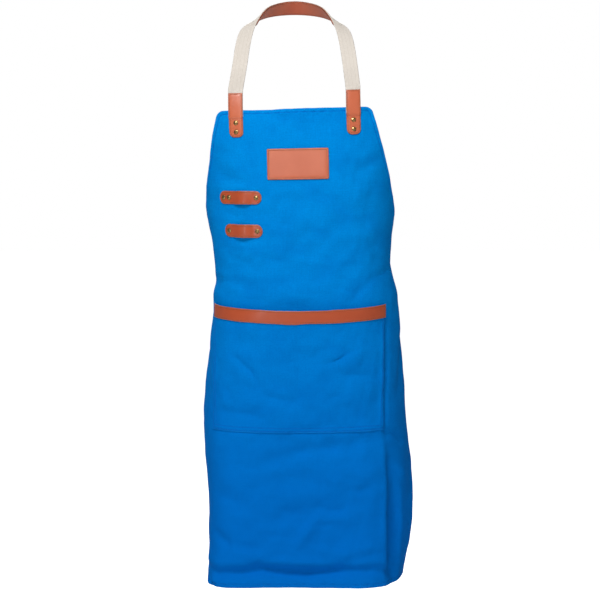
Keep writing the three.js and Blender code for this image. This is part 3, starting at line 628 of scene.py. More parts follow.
# Webbing colours: dark is a darker tone for slubs, and also painted shade in the grooves between the ribs.
webbingLook = {"face": (0.72, 0.665, 0.60, 1), "dark": (0.54, 0.475, 0.40, 1)}


def makeWebbing():
    finish, tree, shader = newFinish("cottonWebbing", {
        "Specular IOR Level": 0.2, "Sheen Weight": 0.12, "Sheen Roughness": 0.5,
    })
    flat = addNode(tree, "UVMap", uv_map="flat").outputs[0]
    ribs = placeGroup(tree, ribGroup, {"Vector": flat, "Ribs": 560.0, "Columns": 143.0})
    # Painted shade: the webbing darkens in the grooves between the ribs.
    shade = ramp(tree, ribs["Height"], 0.5, 0.05, 0.0, 0.5)
    tone = mixColours(tree, shade, webbingLook["face"], webbingLook["dark"])
    tone = mixColours(tree, ramp(tree, ribs["Slub"], 0.4, 0.75, 0.0, 0.3), tone, webbingLook["dark"])
    joinFinish(tree, shader, tone, ramp(tree, ribs["Slub"], 0.3, 0.7, 0.8, 0.95),
               bump(tree, ribs["Height"], 0.6, 0.0004))
    return finish


def makeBrass():
    finish, tree, shader = newFinish("agedBrass", {"Metallic": 1.0})
    place = addNode(tree, "TexCoord").outputs["Object"]
    patina = ramp(tree, noise(tree, place, 420.0, (1, 1, 1), 5.0), 0.4, 0.65)
    tone = mixColours(tree, patina, (0.50, 0.33, 0.13, 1), (0.17, 0.10, 0.045, 1))
    tree.links.new(tone, shader["Base Color"])
    tree.links.new(ramp(tree, patina, 0.0, 1.0, 0.28, 0.5), shader["Roughness"])
    scratches = noise(tree, place, 1800.0, (1, 1, 6), 2.0)
    tree.links.new(bump(tree, scratches, 0.15, 0.0001), shader["Normal"])
    return finish


def makePlastic():
    finish, tree, shader = newFinish("blackPlastic", {"Specular IOR Level": 0.5})
    place = addNode(tree, "TexCoord").outputs["Object"]
    spark = noise(tree, place, 2600.0, (1, 1, 1), 2.0)
    slow = noise(tree, place, 120.0, (1, 1, 1), 3.0)
    tone = mixColours(tree, ramp(tree, slow, 0.3, 0.7), (0.012, 0.012, 0.013, 1), (0.026, 0.026, 0.028, 1))
    joinFinish(tree, shader, tone, ramp(tree, slow, 0.3, 0.7, 0.38, 0.52),
               bump(tree, spark, 0.25, 0.0001))
    return finish


# Thread: the light and dark colours are lit and shaded copies of one thread colour, mixed along the twist bands as
# painted highlight on the plies and painted shade between them.
def makeThread(name, light, dark):
    finish, tree, shader = newFinish(name, {"Specular IOR Level": 0.15})
    place = addNode(tree, "TexCoord").outputs["Object"]
    twist = addNode(tree, "TexWave", {"Vector": place, "Scale": 900.0, "Distortion": 1.5},
                    bands_direction="DIAGONAL").outputs["Fac"]
    tree.links.new(mixColours(tree, twist, dark, light), shader["Base Color"])
    tree.links.new(ramp(tree, twist, 0.0, 1.0, 0.85, 0.7), shader["Roughness"])
    tree.links.new(bump(tree, twist, 0.4, 0.0001), shader["Normal"])
    return finish


canvasFinish, webbingFinish = makeCanvas(), makeWebbing()
tanLeather, brownLeather = makeLeather("tanLeather"), makeLeather("brownLeather")
brassFinish, plasticFinish = makeBrass(), makePlastic()
blueThread = makeThread("blueThread", (0.001, 0.19, 0.66, 1), (0.001, 0.10, 0.46, 1))
tanThread = makeThread("tanThread", (0.40, 0.13, 0.06, 1), (0.22, 0.065, 0.03, 1))
creamThread = makeThread("creamThread", (0.78, 0.70, 0.60, 1), (0.55, 0.47, 0.38, 1))
print("finishes made")


def dress(piece, finish, body="apron"):
    piece.data.materials.clear()
    piece.data.materials.append(finish)
    if body is not None:
        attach(piece, body)
    return piece


# Stitches: one is modelled, then copied along every seam.

thread = {"radius": 0.42, "length": 2.9, "pitch": 3.7}


def modelStitch():
    deselect()
    bpy.ops.mesh.primitive_circle_add(vertices=6, radius=0.55, fill_type="NGON", rotation=(0, math.pi / 2, 0),
                                      location=(-1, 0, -0.9))
    bpy.ops.object.transform_apply(location=True, rotation=True, scale=True)
    bpy.ops.object.mode_set(mode="EDIT")
    bpy.ops.mesh.select_all(action="SELECT")
    reach = -1.0
    for x, rise, size in ((-0.62, 0.75, 1.6), (0.0, 0.25, 1.12), (0.62, -0.25, 0.9), (1.0, -0.75, 0.62)):
        bpy.ops.mesh.extrude_region_move(TRANSFORM_OT_translate={"value": (x - reach, 0, rise)})
        bpy.ops.transform.resize(value=(1, size, size))
        reach = x
    bpy.ops.mesh.select_all(action="SELECT")
    bpy.ops.mesh.normals_make_consistent(inside=False)
    bpy.ops.object.mode_set(mode="OBJECT")
    stitch = bpy.context.object
    places = readPlaces(stitch.data)
    faces = [tuple(face.vertices) for face in stitch.data.polygons]
    bpy.data.objects.remove(stitch, do_unlink=True)
    return places, faces


stitchPlaces, stitchFaces = modelStitch()


# Evenly spaced stitches along runs of (u, v), on whatever surface place lays them.
def sew(name, runs, place, lift, finish, pitch=None, size=1.0, side=1, body="apron"):
    pitch = pitch or thread["pitch"]
    starts, ends = [], []
    for run in runs:
        run = np.asarray(run, float)
        lengths = np.concatenate([[0], np.cumsum(np.linalg.norm(np.diff(run, axis=0), axis=1))])
        count = max(1, int(round(lengths[-1] / pitch)))
        middles = (np.arange(count) + 0.5) * lengths[-1] / count
        half = thread["length"] / 2 * pitch / thread["pitch"]
        at = lambda x: np.stack([np.interp(x, lengths, run[:, 0]), np.interp(x, lengths, run[:, 1])], axis=-1)
        starts.append(at(middles - half))
        ends.append(at(middles + half))
    starts, ends = np.concatenate(starts), np.concatenate(ends)
    low = lambda flat, more: place(flat[:, 0], flat[:, 1], lift(flat[:, 0], flat[:, 1]) + more)
    first, last = low(starts, 0.0), low(ends, 0.0)
    middle = (starts + ends) / 2
    out = unit(low(middle, side * 0.5) - low(middle, 0.0))
    run = (last - first) / 2
    across = unit(np.cross(out, run))
    out = unit(np.cross(run, across))
    radius = thread["radius"] * size
    x, y, z = stitchPlaces.T
    centre = (first + last) / 2 + out * (radius * 0.45)
    places = centre[:, None] + run[:, None] * x[None, :, None]
    places = places + across[:, None] * (radius * y)[None, :, None]
    places = places + out[:, None] * (radius * z)[None, :, None]
    count = len(stitchPlaces)
    faces = [tuple(k * count + corner for corner in face) for k in range(len(centre)) for face in stitchFaces]
    mesh = bpy.data.meshes.new(name)
    mesh.from_pydata(toPart(places.reshape(-1, 3)).tolist(), [], faces)
    mesh.shade_smooth()
    piece = bpy.data.objects.new(name, mesh)
    bpy.context.scene.collection.objects.link(piece)
    return dress(piece, finish, body)


# A closed run at an inset from the edges of a piece given by levels and spans.
def insetRun(levels, spanAt, inset, spacing=3.0):
    levels = np.asarray(levels, float)
    spans = np.array([spanAt(level) for level in levels])
    outline = np.concatenate([
        np.stack([spans[:, 0], levels], axis=-1),
        np.stack([spans[::-1, 1], levels[::-1]], axis=-1),
    ])
    loop = np.concatenate([outline, outline[:1]])
    lengths = np.concatenate([[0], np.cumsum(np.linalg.norm(np.diff(loop, axis=0), axis=1))])
    marks = np.linspace(0, lengths[-1], max(8, int(lengths[-1] / spacing)), endpoint=False)
    ring = np.stack([np.interp(marks, lengths, loop[:, 0]), np.interp(marks, lengths, loop[:, 1])], axis=-1)
    ahead = unit(np.roll(ring, -1, axis=0) - np.roll(ring, 1, axis=0))
    inward = np.stack([ahead[:, 1], -ahead[:, 0]], axis=-1)
    moved = ring + inward * inset
    keep = toOutline(moved[:, 0], moved[:, 1], outline) > inset * 0.97
    moved = moved[keep]
    return np.concatenate([moved, moved[:1]])


# Canvas body.

canvas = {
    "bib": 294, "slant": 0.42, "topCorner": 12, "hemCorner": 18,
    "face": -0.1, "back": -1.05, "hemBack": -2.1, "hem": 9.5, "seam": 6.8,
    "edgeSteps": (0, 0.4, 1.2, 2.6, 4.5, 6, 6.8, 7.6, 9.2, 10.6, 14), "spacing": 4.5,
}


def canvasSpan(level):
    half = drape["halfWidth"]
    angle = math.asin(min(level / drape["armhole"], 1))
    slanted = canvas["slant"] * math.sin(angle) + (1 - canvas["slant"]) * (1 - math.cos(angle))
    reach = canvas["bib"] / 2 + (half - canvas["bib"] / 2) * slanted
    if level < canvas["topCorner"]:
        rise = 1 - level / canvas["topCorner"]
        reach -= canvas["topCorner"] * (1 - math.sqrt(max(0, 1 - rise * rise)))
    last = (level - drape["length"] + canvas["hemCorner"]) / canvas["hemCorner"]
    if last > 0:
        reach -= canvas["hemCorner"] * (1 - math.sqrt(max(0, 1 - last * last)))
    return -reach, reach


def canvasLean(level):
    near = [canvasSpan(np.clip(level + shift, 0, drape["length"]))[1] for shift in (-2, 2)]
    if level < 14 or level > drape["length"] - 20:
        return 1.0
    return min(2.2, math.hypot(1, (near[1] - near[0]) / 4))


def canvasLevels():
    steps = np.array(canvas["edgeSteps"], float)
    turns = np.linspace(math.asin(14 / drape["armhole"]), math.pi / 2, 74)
    armhole = drape["armhole"] * np.sin(turns)
    side = np.linspace(drape["armhole"], drape["length"] - 20, 150)[1:]
    return np.concatenate([steps[:-1], armhole, side, drape["length"] - steps[::-1]])


def pucker(u, v, edge, seam, height, pitch):
    wave = np.sin(2 * np.pi * (0.7 * u + v) / pitch + 1.7 * np.sin(u / 31.0) + 1.3 * np.sin(v / 23.0))
    return height * wave * np.exp(-(((edge - seam) / 4.5) ** 2))


def groove(edge, seam, depth, width):
    return -depth * np.exp(-(((edge - seam) / width) ** 2))


def rounding(edge, reach, depth):
    return depth * np.clip(1 - edge / reach, 0, 1) ** 2


def canvasLayers(edge, front, u, v):
    gather = pucker(u, v, edge, canvas["seam"], 0.3, 13.0)
    folded = smoothStep(edge, canvas["hem"] + 1.2, canvas["hem"] - 0.6)
    face = canvas["face"] + 0.35 * folded + groove(edge, canvas["seam"], 0.6, 1.0) - rounding(edge, 1.4, 0.85)
    back = canvas["back"] + (canvas["hemBack"] - canvas["back"]) * folded + rounding(edge, 1.4, 0.85)
    return np.where(front, face, back) + gather


canvasRows = canvasLevels()
canvasPiece = layPiece("canvas_cloth", canvasRows, canvasSpan, clothPlace, canvasLayers,
                       canvas["edgeSteps"], canvas["spacing"],
                       lambda edge, u, v: np.abs(edge - canvas["seam"]), canvasLean)
dress(canvasPiece, canvasFinish)
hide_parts("canvas_body")
outlineOfCanvas = np.array([canvasSpan(level) for level in canvasRows])
canvasSeam = insetRun(canvasRows, canvasSpan, canvas["seam"])
canvasThreads = [
    sew("canvas_front_stitches", [canvasSeam], clothPlace,
        evenLift(canvas["face"] - 0.25), blueThread),
    sew("canvas_back_stitches", [canvasSeam], clothPlace,
        evenLift(canvas["hemBack"] + 0.05), blueThread, side=-1),
]
print("canvas made", len(canvasPiece.data.polygons))

# Pocket and its band.

pocket = {
    "top": 373, "depth": 233, "topWidth": 352, "bottomWidth": 338, "gape": 18, "droop": 4, "gap": 0.5,
    "thickness": 1.2, "seams": (2.8, 9.2), "fold": 10.8,
    "edgeSteps": (0, 0.4, 1.2, 2.0, 2.8, 3.6, 5.5, 8.2, 9.2, 10.2, 11.8, 15), "spacing": 4.0,
}
band = {"height": 25, "above": 1, "under": 1.3, "thickness": 1.8}


def pocketHalf(v):
    down = (v - pocket["top"]) / pocket["depth"]
    return (pocket["topWidth"] + (pocket["bottomWidth"] - pocket["topWidth"]) * down) / 2


def pocketPlace(u, v, lift):
    down = (np.asarray(v, float) - pocket["top"]) / pocket["depth"]
    middle = 1 - np.clip(u / pocketHalf(v), -1, 1) ** 2
    sag = pocket["droop"] * middle * (1 - down)
    stand = pocket["gap"] + pocket["gape"] * middle * np.clip(1 - down, 0, 2) ** 1.3
    return onCloth(u, v + sag, lift + stand)[0]


# How far a place is from the three sewn sides of the pocket.
def toSewnSide(u, v):
    return np.minimum(pocketHalf(v) - np.abs(u), pocket["top"] + pocket["depth"] - v)


def toPocketSeam(edge, u, v):
    return np.minimum(*(np.abs(toSewnSide(u, v) - seam) for seam in pocket["seams"]))


def pocketLayers(edge, front, u, v):
    sewn = np.maximum(toSewnSide(u, v), 0)
    gather = pucker(u, v, sewn, 6.0, 0.22, 12.0)
    face = pocket["thickness"] - 0.25 + 0.75 * smoothStep(sewn, pocket["fold"] + 1.2, pocket["fold"] - 0.6)
    face = face + sum(groove(sewn, seam, 0.55, 0.9) for seam in pocket["seams"]) - rounding(edge, 1.4, 0.8)
    back = -0.5 * np.exp(-((sewn / 10) ** 2)) + rounding(edge, 1.2, 0.3)
    return np.where(front, face, back) + gather


def pocketSpan(level):
    half = pocketHalf(level)
    return -half, half


pocketRows = levelsBetween(pocket["top"], pocket["top"] + pocket["depth"],
                           pocket["edgeSteps"], pocket["spacing"])
pocketPiece = layPiece("pocket_cloth", pocketRows, pocketSpan, pocketPlace, pocketLayers,
                       pocket["edgeSteps"], pocket["spacing"], toPocketSeam)
dress(pocketPiece, canvasFinish)
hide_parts("pocket_panel")
pocketRuns = []
for inset in pocket["seams"]:
    bottom = pocket["top"] + pocket["depth"] - inset
    side = np.linspace(pocket["top"] + 3, bottom, 40)
    down = np.stack([-(pocketHalf(side) - inset), side], axis=-1)
    up = np.stack([pocketHalf(side[::-1]) - inset, side[::-1]], axis=-1)
    pocketRuns.append(np.concatenate([down, up]))
pocketThreads = sew("pocket_stitches", pocketRuns, pocketPlace,
                    evenLift(pocket["thickness"] + 0.1), blueThread)


# Leather layers: a flat face with a shallow seam line and a rounded cut edge.
def leatherLayers(under, thickness, seam, lift=None, dips=()):
    def layers(edge, front, u, v):
        face = under + thickness + groove(edge, seam, 0.22, 0.6) - rounding(edge, 1.1, 0.6)
        crown = 0.1 * smoothStep(edge, seam, seam + 6)
        for du, dv in dips:
            crown = crown - 0.3 * np.exp(-(((u - du) ** 2 + (v - dv) ** 2) / 36))
        back = under + rounding(edge, 1.1, 0.5)
        raised = 0 if lift is None else lift(u, v)
        return np.where(front, face + crown, back) + raised
    return layers


leather = {
    "thickness": 1.8, "gap": 0.25, "seam": 2.6,
    "edgeSteps": (0, 0.35, 1.0, 1.9, 2.6, 3.3, 4.6), "spacing": 2.0, "rows": 1.8, "sink": 0.1,
}


def layLeather(name, node, levels, spanAt, place, layers, sewLift, spacing=None, seam=None,
               finish=tanLeather):
    seam = seam or leather["seam"]
    piece = layPiece(name, levels, spanAt, place, layers, leather["edgeSteps"], spacing or leather["spacing"],
                     lambda edge, u, v: np.abs(edge - seam))
    dress(piece, finish)
    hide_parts(node)
    runs = [insetRun(levels, spanAt, seam, 1.5)]
    sew(f"{name}_stitches", runs, place, sewLift, tanThread, pitch=3.2, size=0.85)
    return piece


bandTop = pocket["top"] - band["above"]
bandRows = levelsBetween(bandTop, bandTop + band["height"], leather["edgeSteps"], 2.2)
bandSpan = lambda level: (-pocketHalf(level) - 0.6, pocketHalf(level) + 0.6)
layLeather("pocket_mouth_band", "pocket_band", bandRows, bandSpan, pocketPlace,
           leatherLayers(band["under"], band["thickness"], leather["seam"]),
           evenLift(band["under"] + band["thickness"] - leather["sink"]), spacing=3.2, finish=brownLeather)
print("pocket made")

# Name patch and tool loops.

patch = {"middle": 3.5, "level": 103, "width": 115, "height": 58, "corner": 2.5, "seam": 3.2}


def roundedSpan(left, right, top, bottom, corner, squareLeft=False, squareRight=False):
    def span(level):
        inside = min(level - top, bottom - level)
        cut = 0.0
        if inside < corner:
            rise = corner - max(inside, 0)
            cut = corner - math.sqrt(max(0, corner * corner - rise * rise))
        return left + (0 if squareLeft else cut), right - (0 if squareRight else cut)
    return span


patchTop, patchBottom = patch["level"] - patch["height"] / 2, patch["level"] + patch["height"] / 2
patchLeft, patchRight = patch["middle"] - patch["width"] / 2, patch["middle"] + patch["width"] / 2
patchSpan = roundedSpan(patchLeft, patchRight, patchTop, patchBottom, patch["corner"])
patchRows = levelsBetween(patchTop, patchBottom, leather["edgeSteps"], 2.4)
leatherFace = leather["gap"] + leather["thickness"]
layLeather("blank_name_patch", "name_patch", patchRows, patchSpan, clothPlace,
           leatherLayers(leather["gap"], leather["thickness"] + 0.2, patch["seam"]),
           evenLift(leatherFace + 0.1), spacing=2.6, seam=patch["seam"])

loops = [
    {"name": "upper", "inner": -65, "length": 86, "level": 165, "rivets": (-141, -129, -75)},
    {"name": "lower", "inner": -64, "length": 76, "level": 228, "rivets": (-130, -74)},
]
loopShape = {"height": 25, "arch": 4.5, "corner": 12, "flat": 5.5, "ramps": 2.3}
rivets = []


# A strap or tab of leather held by rivets, raised off the cloth where raised says.
def layRiveted(name, node, rows, span, raised, holes, finish=tanLeather):
    layLeather(f"{name}_leather", node, rows, span, clothPlace,
               leatherLayers(leather["gap"], leather["thickness"], leather["seam"], raised, holes),
               lambda u, v: leatherFace - leather["sink"] + raised(u, v), finish=finish)
    for k, (u, v) in enumerate(holes):
        rivets.append((f"{name}_rivet_{k + 1}", u, v))


def layLoop(loop):
    top, bottom = loop["level"] - loopShape["height"] / 2, loop["level"] + loopShape["height"] / 2
    archFrom = loop["rivets"][-2] + loopShape["flat"]
    archTo = loop["rivets"][-1] - loopShape["flat"]
    slope = (archTo - archFrom) / loopShape["ramps"]

    def archAt(u, v):
        rise = smoothStep(u, archFrom, archFrom + slope) * (1 - smoothStep(u, archTo - slope, archTo))
        return loopShape["arch"] * rise

    span = roundedSpan(loop["inner"] - loop["length"], loop["inner"], top, bottom, loopShape["corner"])
    rows = levelsBetween(top, bottom, leather["edgeSteps"], leather["rows"])
    layRiveted(f"{loop['name']}_loop", f"{loop['name']}_tool_loop", rows, span, archAt,
               [(u, loop["level"]) for u in loop["rivets"]], finish=brownLeather)


for loop in loops:
    layLoop(loop)

# Tabs that hold the straps.

tab = {"width": 27, "length": 82, "over": 31, "corner": 10, "neck": 110, "waist": 318,
       "tuck": 13, "step": 5, "rivets": (72, 55), "webbing": 1.8, "gap": 0.5, "squareTop": -500}


def stepDown(along):
    start = tab["over"] + tab["tuck"] + tab["gap"]
    return (tab["webbing"] + tab["gap"]) * (1 - smoothStep(along, start, start + tab["step"]))


def layNeckTab(name, sign):
    middle, half = sign * tab["neck"], tab["width"] / 2
    top, bottom = -tab["over"], tab["length"] - tab["over"]
    span = roundedSpan(middle - half, middle + half, tab["squareTop"], bottom, tab["corner"])
    rows = levelsBetween(top, bottom, leather["edgeSteps"], leather["rows"])
    layRiveted(f"neck_tab_{name}", f"neck_tab_{name}", rows, span, lambda u, v: stepDown(v + tab["over"]),
               [(middle, along - tab["over"]) for along in tab["rivets"]])


def layWaistTab(name, sign):
    free = sign * (drape["halfWidth"] + tab["over"])
    rooted = free - sign * tab["length"]
    top, bottom = tab["waist"] - tab["width"] / 2, tab["waist"] + tab["width"] / 2
    span = roundedSpan(min(free, rooted), max(free, rooted), top, bottom,
                       tab["corner"], squareLeft=sign < 0, squareRight=sign > 0)
    rows = levelsBetween(top, bottom, leather["edgeSteps"], leather["rows"])
    layRiveted(f"waist_tab_{name}", f"waist_tab_{name}", rows, span,
               lambda u, v: stepDown(np.abs(free - u)),
               [(free - sign * along, tab["waist"]) for along in tab["rivets"]])


for name, sign in rightAndLeft:
    layNeckTab(name, sign)
    layWaistTab(name, sign)
print("leather made")

# Rivets: a head and a base are modelled once, then copied.

rivetShape = {
    "sides": 28,
    "head": ((3.9, 0), (4.4, 0.25), (4.5, 0.7), (4.25, 1.1), (3.7, 1.3), (3.45, 1.25), (3.1, 1.55),
             (2.2, 1.95), (1.1, 2.15), (0.3, 2.2)),
    "base": ((4.0, 0), (4.3, -0.25), (4.3, -0.8), (3.8, -1.3), (3.2, -1.55), (2.2, -1.6), (1.9, -1.2),
             (0.6, -1.1)),
}


def turnShape(profile):
    deselect()
    bpy.ops.mesh.primitive_circle_add(vertices=rivetShape["sides"], radius=profile[0][0], fill_type="NGON",
                                      location=(0, 0, 0))
    bpy.ops.object.mode_set(mode="EDIT")
    bpy.ops.mesh.select_all(action="SELECT")
    for (radius, height), (nextRadius, nextHeight) in zip(profile, profile[1:]):
        bpy.ops.mesh.extrude_region_move(TRANSFORM_OT_translate={"value": (0, 0, nextHeight - height)})
        size = nextRadius / radius
        bpy.ops.transform.resize(value=(size, size, 1))
    bpy.ops.mesh.select_all(action="SELECT")
    bpy.ops.mesh.normals_make_consistent(inside=False)
    bpy.ops.object.mode_set(mode="OBJECT")
    shape = bpy.context.object
    bpy.ops.object.shade_smooth()
    return shape


def copyOnCloth(shape, name, node, u, v, lift):
    mesh = shape.data.copy()
    places = readPlaces(mesh)
    here, out = onCloth(u, v, lift)
    across = unit(np.cross([0, 0, 1.0], out))
    rise = np.cross(out, across)
    turned = places[:, :1] * across + places[:, 1:2] * rise + places[:, 2:] * out
    writePlaces(mesh, toPart(turned + here))
    piece = bpy.data.objects.new(name, mesh)
    mesh.name = name
    bpy.context.scene.collection.objects.link(piece)
    dress(piece, brassFinish)
    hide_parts(node)


headShape, baseShape = turnShape(rivetShape["head"]), turnShape(rivetShape["base"])
for name, u, v in rivets:
    copyOnCloth(headShape, f"{name}_head", f"{name}_cap", u, v, leatherFace - 0.3)
    copyOnCloth(baseShape, f"{name}_back", f"{name}_base", u, v, canvas["back"] + 0.1)
for shape in (headShape, baseShape):
    bpy.data.objects.remove(shape, do_unlink=True)
print("rivets made")

# Webbing: stations along a route give a place, the outward and the across direction.

webbing = {"width": 28, "thickness": 1.8, "gap": 0.5,
           "edgeSteps": (0, 0.3, 0.8, 1.8, 3.2), "spacing": 3.2, "station": 2.2}
stations = {"tuck": 24, "neck": 420, "sweep": 60, "fold": 150}
neck = {"side": 110, "half": 76, "rise": 195, "back": 74, "padShare": 0.45, "padExtra": 1.5}
waist = {"back": 131, "mouth": 30, "socket": 44, "plugBase": 17, "bar": 3,
         "tail": 54, "spare": 12, "fold": 22, "settle": 14}


# A smooth run through points, at shares of its stations.
def throughPoints(points, at):
    points = np.array(points, float)
    last = len(points) - 1
    held = np.vstack([2 * points[0] - points[1], points, 2 * points[-1] - points[-2]])
    i = np.minimum((np.clip(at, 0, 1) * last).astype(int), last - 1)
    t = (np.clip(at, 0, 1) * last - i)[:, None]
    p0, p1, p2, p3 = (held[i + k] for k in range(4))
    gap = lambda a, b: np.maximum(np.linalg.norm(b - a, axis=1) ** 0.5, 1e-9)[:, None]
    d0, d1, d2 = gap(p0, p1), gap(p1, p2), gap(p2, p3)
    m1 = ((p1 - p0) / d0 - (p2 - p0) / (d0 + d1) + (p2 - p1) / d1) * d1
    m2 = ((p2 - p1) / d1 - (p3 - p1) / (d1 + d2) + (p3 - p2) / d2) * d1
    return p1 + m1 * t + (3 * (p2 - p1) - 2 * m1 - m2) * t ** 2 + (2 * (p1 - p2) + m1 + m2) * t ** 3


class Route:
    def __init__(self, points, outs, acrosses):
        self.points, self.outs, self.acrosses = points, outs, acrosses
        self.lengths = np.concatenate([[0], np.cumsum(np.linalg.norm(np.diff(points, axis=0), axis=1))])
        self.length = self.lengths[-1]

    def at(self, table, along):
        return np.stack([np.interp(along, self.lengths, table[:, k]) for k in range(3)], axis=-1)

    def place(self, u, v, lift):
        out, across = unit(self.at(self.outs, v)), unit(self.at(self.acrosses, v))
        return self.at(self.points, v) + across * np.asarray(u)[..., None] + out * np.asarray(lift)[..., None]


def tucked(placeAt, start, end):
    along = np.linspace(start, end, stations["tuck"])
    u, v, towards = placeAt(along)
    places, outs = onCloth(u, v, webbing["gap"] + webbing["thickness"] / 2)
    aside = onCloth(u + towards[0], v + towards[1], webbing["gap"] + webbing["thickness"] / 2)[0]
    return places, outs, unit(aside - places)


def neckEnd(sign):
    return lambda along: (sign * tab["neck"] + 0 * along, along - tab["over"], (sign, 0))


def makeNeckRoute():
    half = [
        ((1.36 * neck["half"], -78, 0.42 * neck["rise"]), (0, -0.82, 0.45)),
        ((1.29 * neck["half"], -45, 0.62 * neck["rise"]), (0, -0.68, 0.73)),
        ((1.19 * neck["half"], -8, 0.77 * neck["rise"]), (0.2, -0.35, 0.91)),
        ((neck["half"], 0.38 * neck["back"], 0.87 * neck["rise"]), (0.5, 0.05, 0.86)),
        ((0.66 * neck["half"], 0.74 * neck["back"], 0.96 * neck["rise"]), (0.5, 0.55, 0.67)),
    ]
    middle = webbing["gap"] + webbing["thickness"] / 2
    leave = lambda sign: onCloth(sign * neck["side"], -tab["over"] - 6, middle)[0]
    flip = lambda p, sign: (sign * p[0], p[1], p[2])
    points = [leave(-1)] + [flip(p, -1) for p, n in half] + [(0, neck["back"], neck["rise"])]
    points += [flip(p, 1) for p, n in half[::-1]] + [leave(1)]
    outs = [(0, -0.97, 0.2)] + [flip(n, -1) for p, n in half] + [(0, 0.87, 0.5)]
    outs += [flip(n, 1) for p, n in half[::-1]] + [(0, -0.97, 0.2)]
    shares = np.linspace(0, 1, stations["neck"])
    run, faces = throughPoints(points, shares), throughPoints(outs, shares)
    ahead = unit(np.gradient(run, axis=0))
    faces = unit(faces - ahead * (faces * ahead).sum(axis=1)[:, None])
    acrosses = np.cross(faces, ahead)
    up = tucked(neckEnd(-1), tab["over"] + tab["tuck"], 0)
    fall = tucked(neckEnd(1), 0, tab["over"] + tab["tuck"])
    route = Route(*(np.concatenate([a, b, c]) for a, b, c in zip(up, (run, faces, acrosses), fall)))
    padStart = (1 - neck["padShare"]) / 2
    first, last = stations["tuck"], stations["neck"] - 1
    marks = [route.lengths[first + int(share * last)] for share in (padStart, 1 - padStart)]
    return route, marks


def webbingLayers(edge, front, u, v):
    half = webbing["thickness"] / 2
    face = half - rounding(edge, 1.0, 0.7) + 0.12 * np.exp(-(((edge - 1.5) / 0.7) ** 2))
    return np.where(front, face, -face)


def strapSpan(level):
    return -webbing["width"] / 2, webbing["width"] / 2


def layWebbing(name, node, route, body="apron"):
    rows = np.linspace(0, route.length, int(route.length / webbing["station"]))
    piece = layPiece(name, rows, strapSpan, route.place, webbingLayers, webbing["edgeSteps"],
                     webbing["spacing"], lambda edge, u, v: edge)
    dress(piece, webbingFinish, body)
    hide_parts(node)
    return piece


neckRoute, padMarks = makeNeckRoute()
layWebbing("neck_webbing", "neck_strap", neckRoute)
padHalf = (webbing["width"] + neck["padExtra"]) / 2
padSpan = roundedSpan(-padHalf, padHalf, padMarks[0], padMarks[1], 6)
padRows = levelsBetween(padMarks[0], padMarks[1], leather["edgeSteps"], 4.0)


def padLayers(edge, front, u, v):
    outer = -webbing["thickness"] / 2 - 0.1
    inner = outer - leather["thickness"] - 0.3 + rounding(edge, 1.1, 0.6)
    inner = inner - groove(edge, leather["seam"], 0.25, 0.7)
    return np.where(front, outer - rounding(edge, 1.1, 0.3), inner)


layLeather("neck_pad_leather", "neck_pad", padRows, padSpan, neckRoute.place, padLayers,
           evenLift(-webbing["thickness"] / 2 - leather["thickness"] - 0.3))
padRun = insetRun(padRows, padSpan, 3.2, 2.0)
sew("neck_webbing_stitches", [padRun], neckRoute.place,
    evenLift(webbing["thickness"] / 2 - 0.05), creamThread, pitch=3.4, size=0.8)
print("neck strap made")


def waistEnd(sign):
    side = drape["halfWidth"] + tab["over"]
    return lambda along: (sign * (side - along), tab["waist"] + 0 * along, (0, 1))


outermost = drape["halfWidth"] + tab["over"]
waistLevel = sum(float(onCloth(sign * outermost, tab["waist"])[0][2]) for name, sign in rightAndLeft) / 2


def makeWaistRoute(sign, bar, far, tail):
    middle = webbing["gap"] + webbing["thickness"] / 2
    half = webbing["thickness"] / 2
    free = sign * outermost
    edge = onCloth(free, tab["waist"], middle)[0]
    ahead = unit(edge - onCloth(free - 2 * sign, tab["waist"], middle)[0])
    down = unit(onCloth(free, tab["waist"] + 1, middle)[0] - onCloth(free, tab["waist"] - 1, middle)[0])
    leave = edge + ahead * 4
    join = np.array([far, waist["back"] - half - webbing["gap"] / 2, waistLevel])
    reach = np.linalg.norm(join - leave) / 2.6
    a, b = leave + ahead * reach, join + np.array([sign * reach, 0, 0])
    t = np.linspace(0, 1, stations["sweep"])[:-1, None]
    sweep = leave * (1 - t) ** 3 + 3 * a * t * (1 - t) ** 2 + 3 * b * t * t * (1 - t) + join * t ** 3
    easing = unit(down * (1 - t) + np.array([0, 0, -1.0]) * t)
    legGap, rest = waist["bar"] / 2 + webbing["gap"] + half, half + webbing["gap"] / 2
    settled = lambda share: bar + sign * waist["settle"] * share
    stops = [(far, -rest), (settled(1), -rest), (settled(0.5), -(rest + legGap) / 2), (bar, -legGap)]
    stops += [(bar - sign * legGap * math.cos(math.radians(a)), legGap * math.sin(math.radians(a)))
              for a in (-60, -30, 0, 30, 60)]
    stops += [(bar, legGap), (settled(0.5), (rest + legGap) / 2), (settled(1), rest), (tail, rest)]
    folded = throughPoints([(x, waist["back"] + y, waistLevel) for x, y in stops], np.linspace(0, 1, stations["fold"]))
    run = np.concatenate([sweep, folded])
    acrosses = np.concatenate([easing, np.broadcast_to([0, 0, -1.0], folded.shape)])
    outs = unit(np.cross(acrosses, np.gradient(run, axis=0))) * sign
    first = tucked(waistEnd(sign), tab["over"] + tab["tuck"], 0)
    return Route(*(np.concatenate([a, b]) for a, b in zip(first, (run, outs, acrosses))))


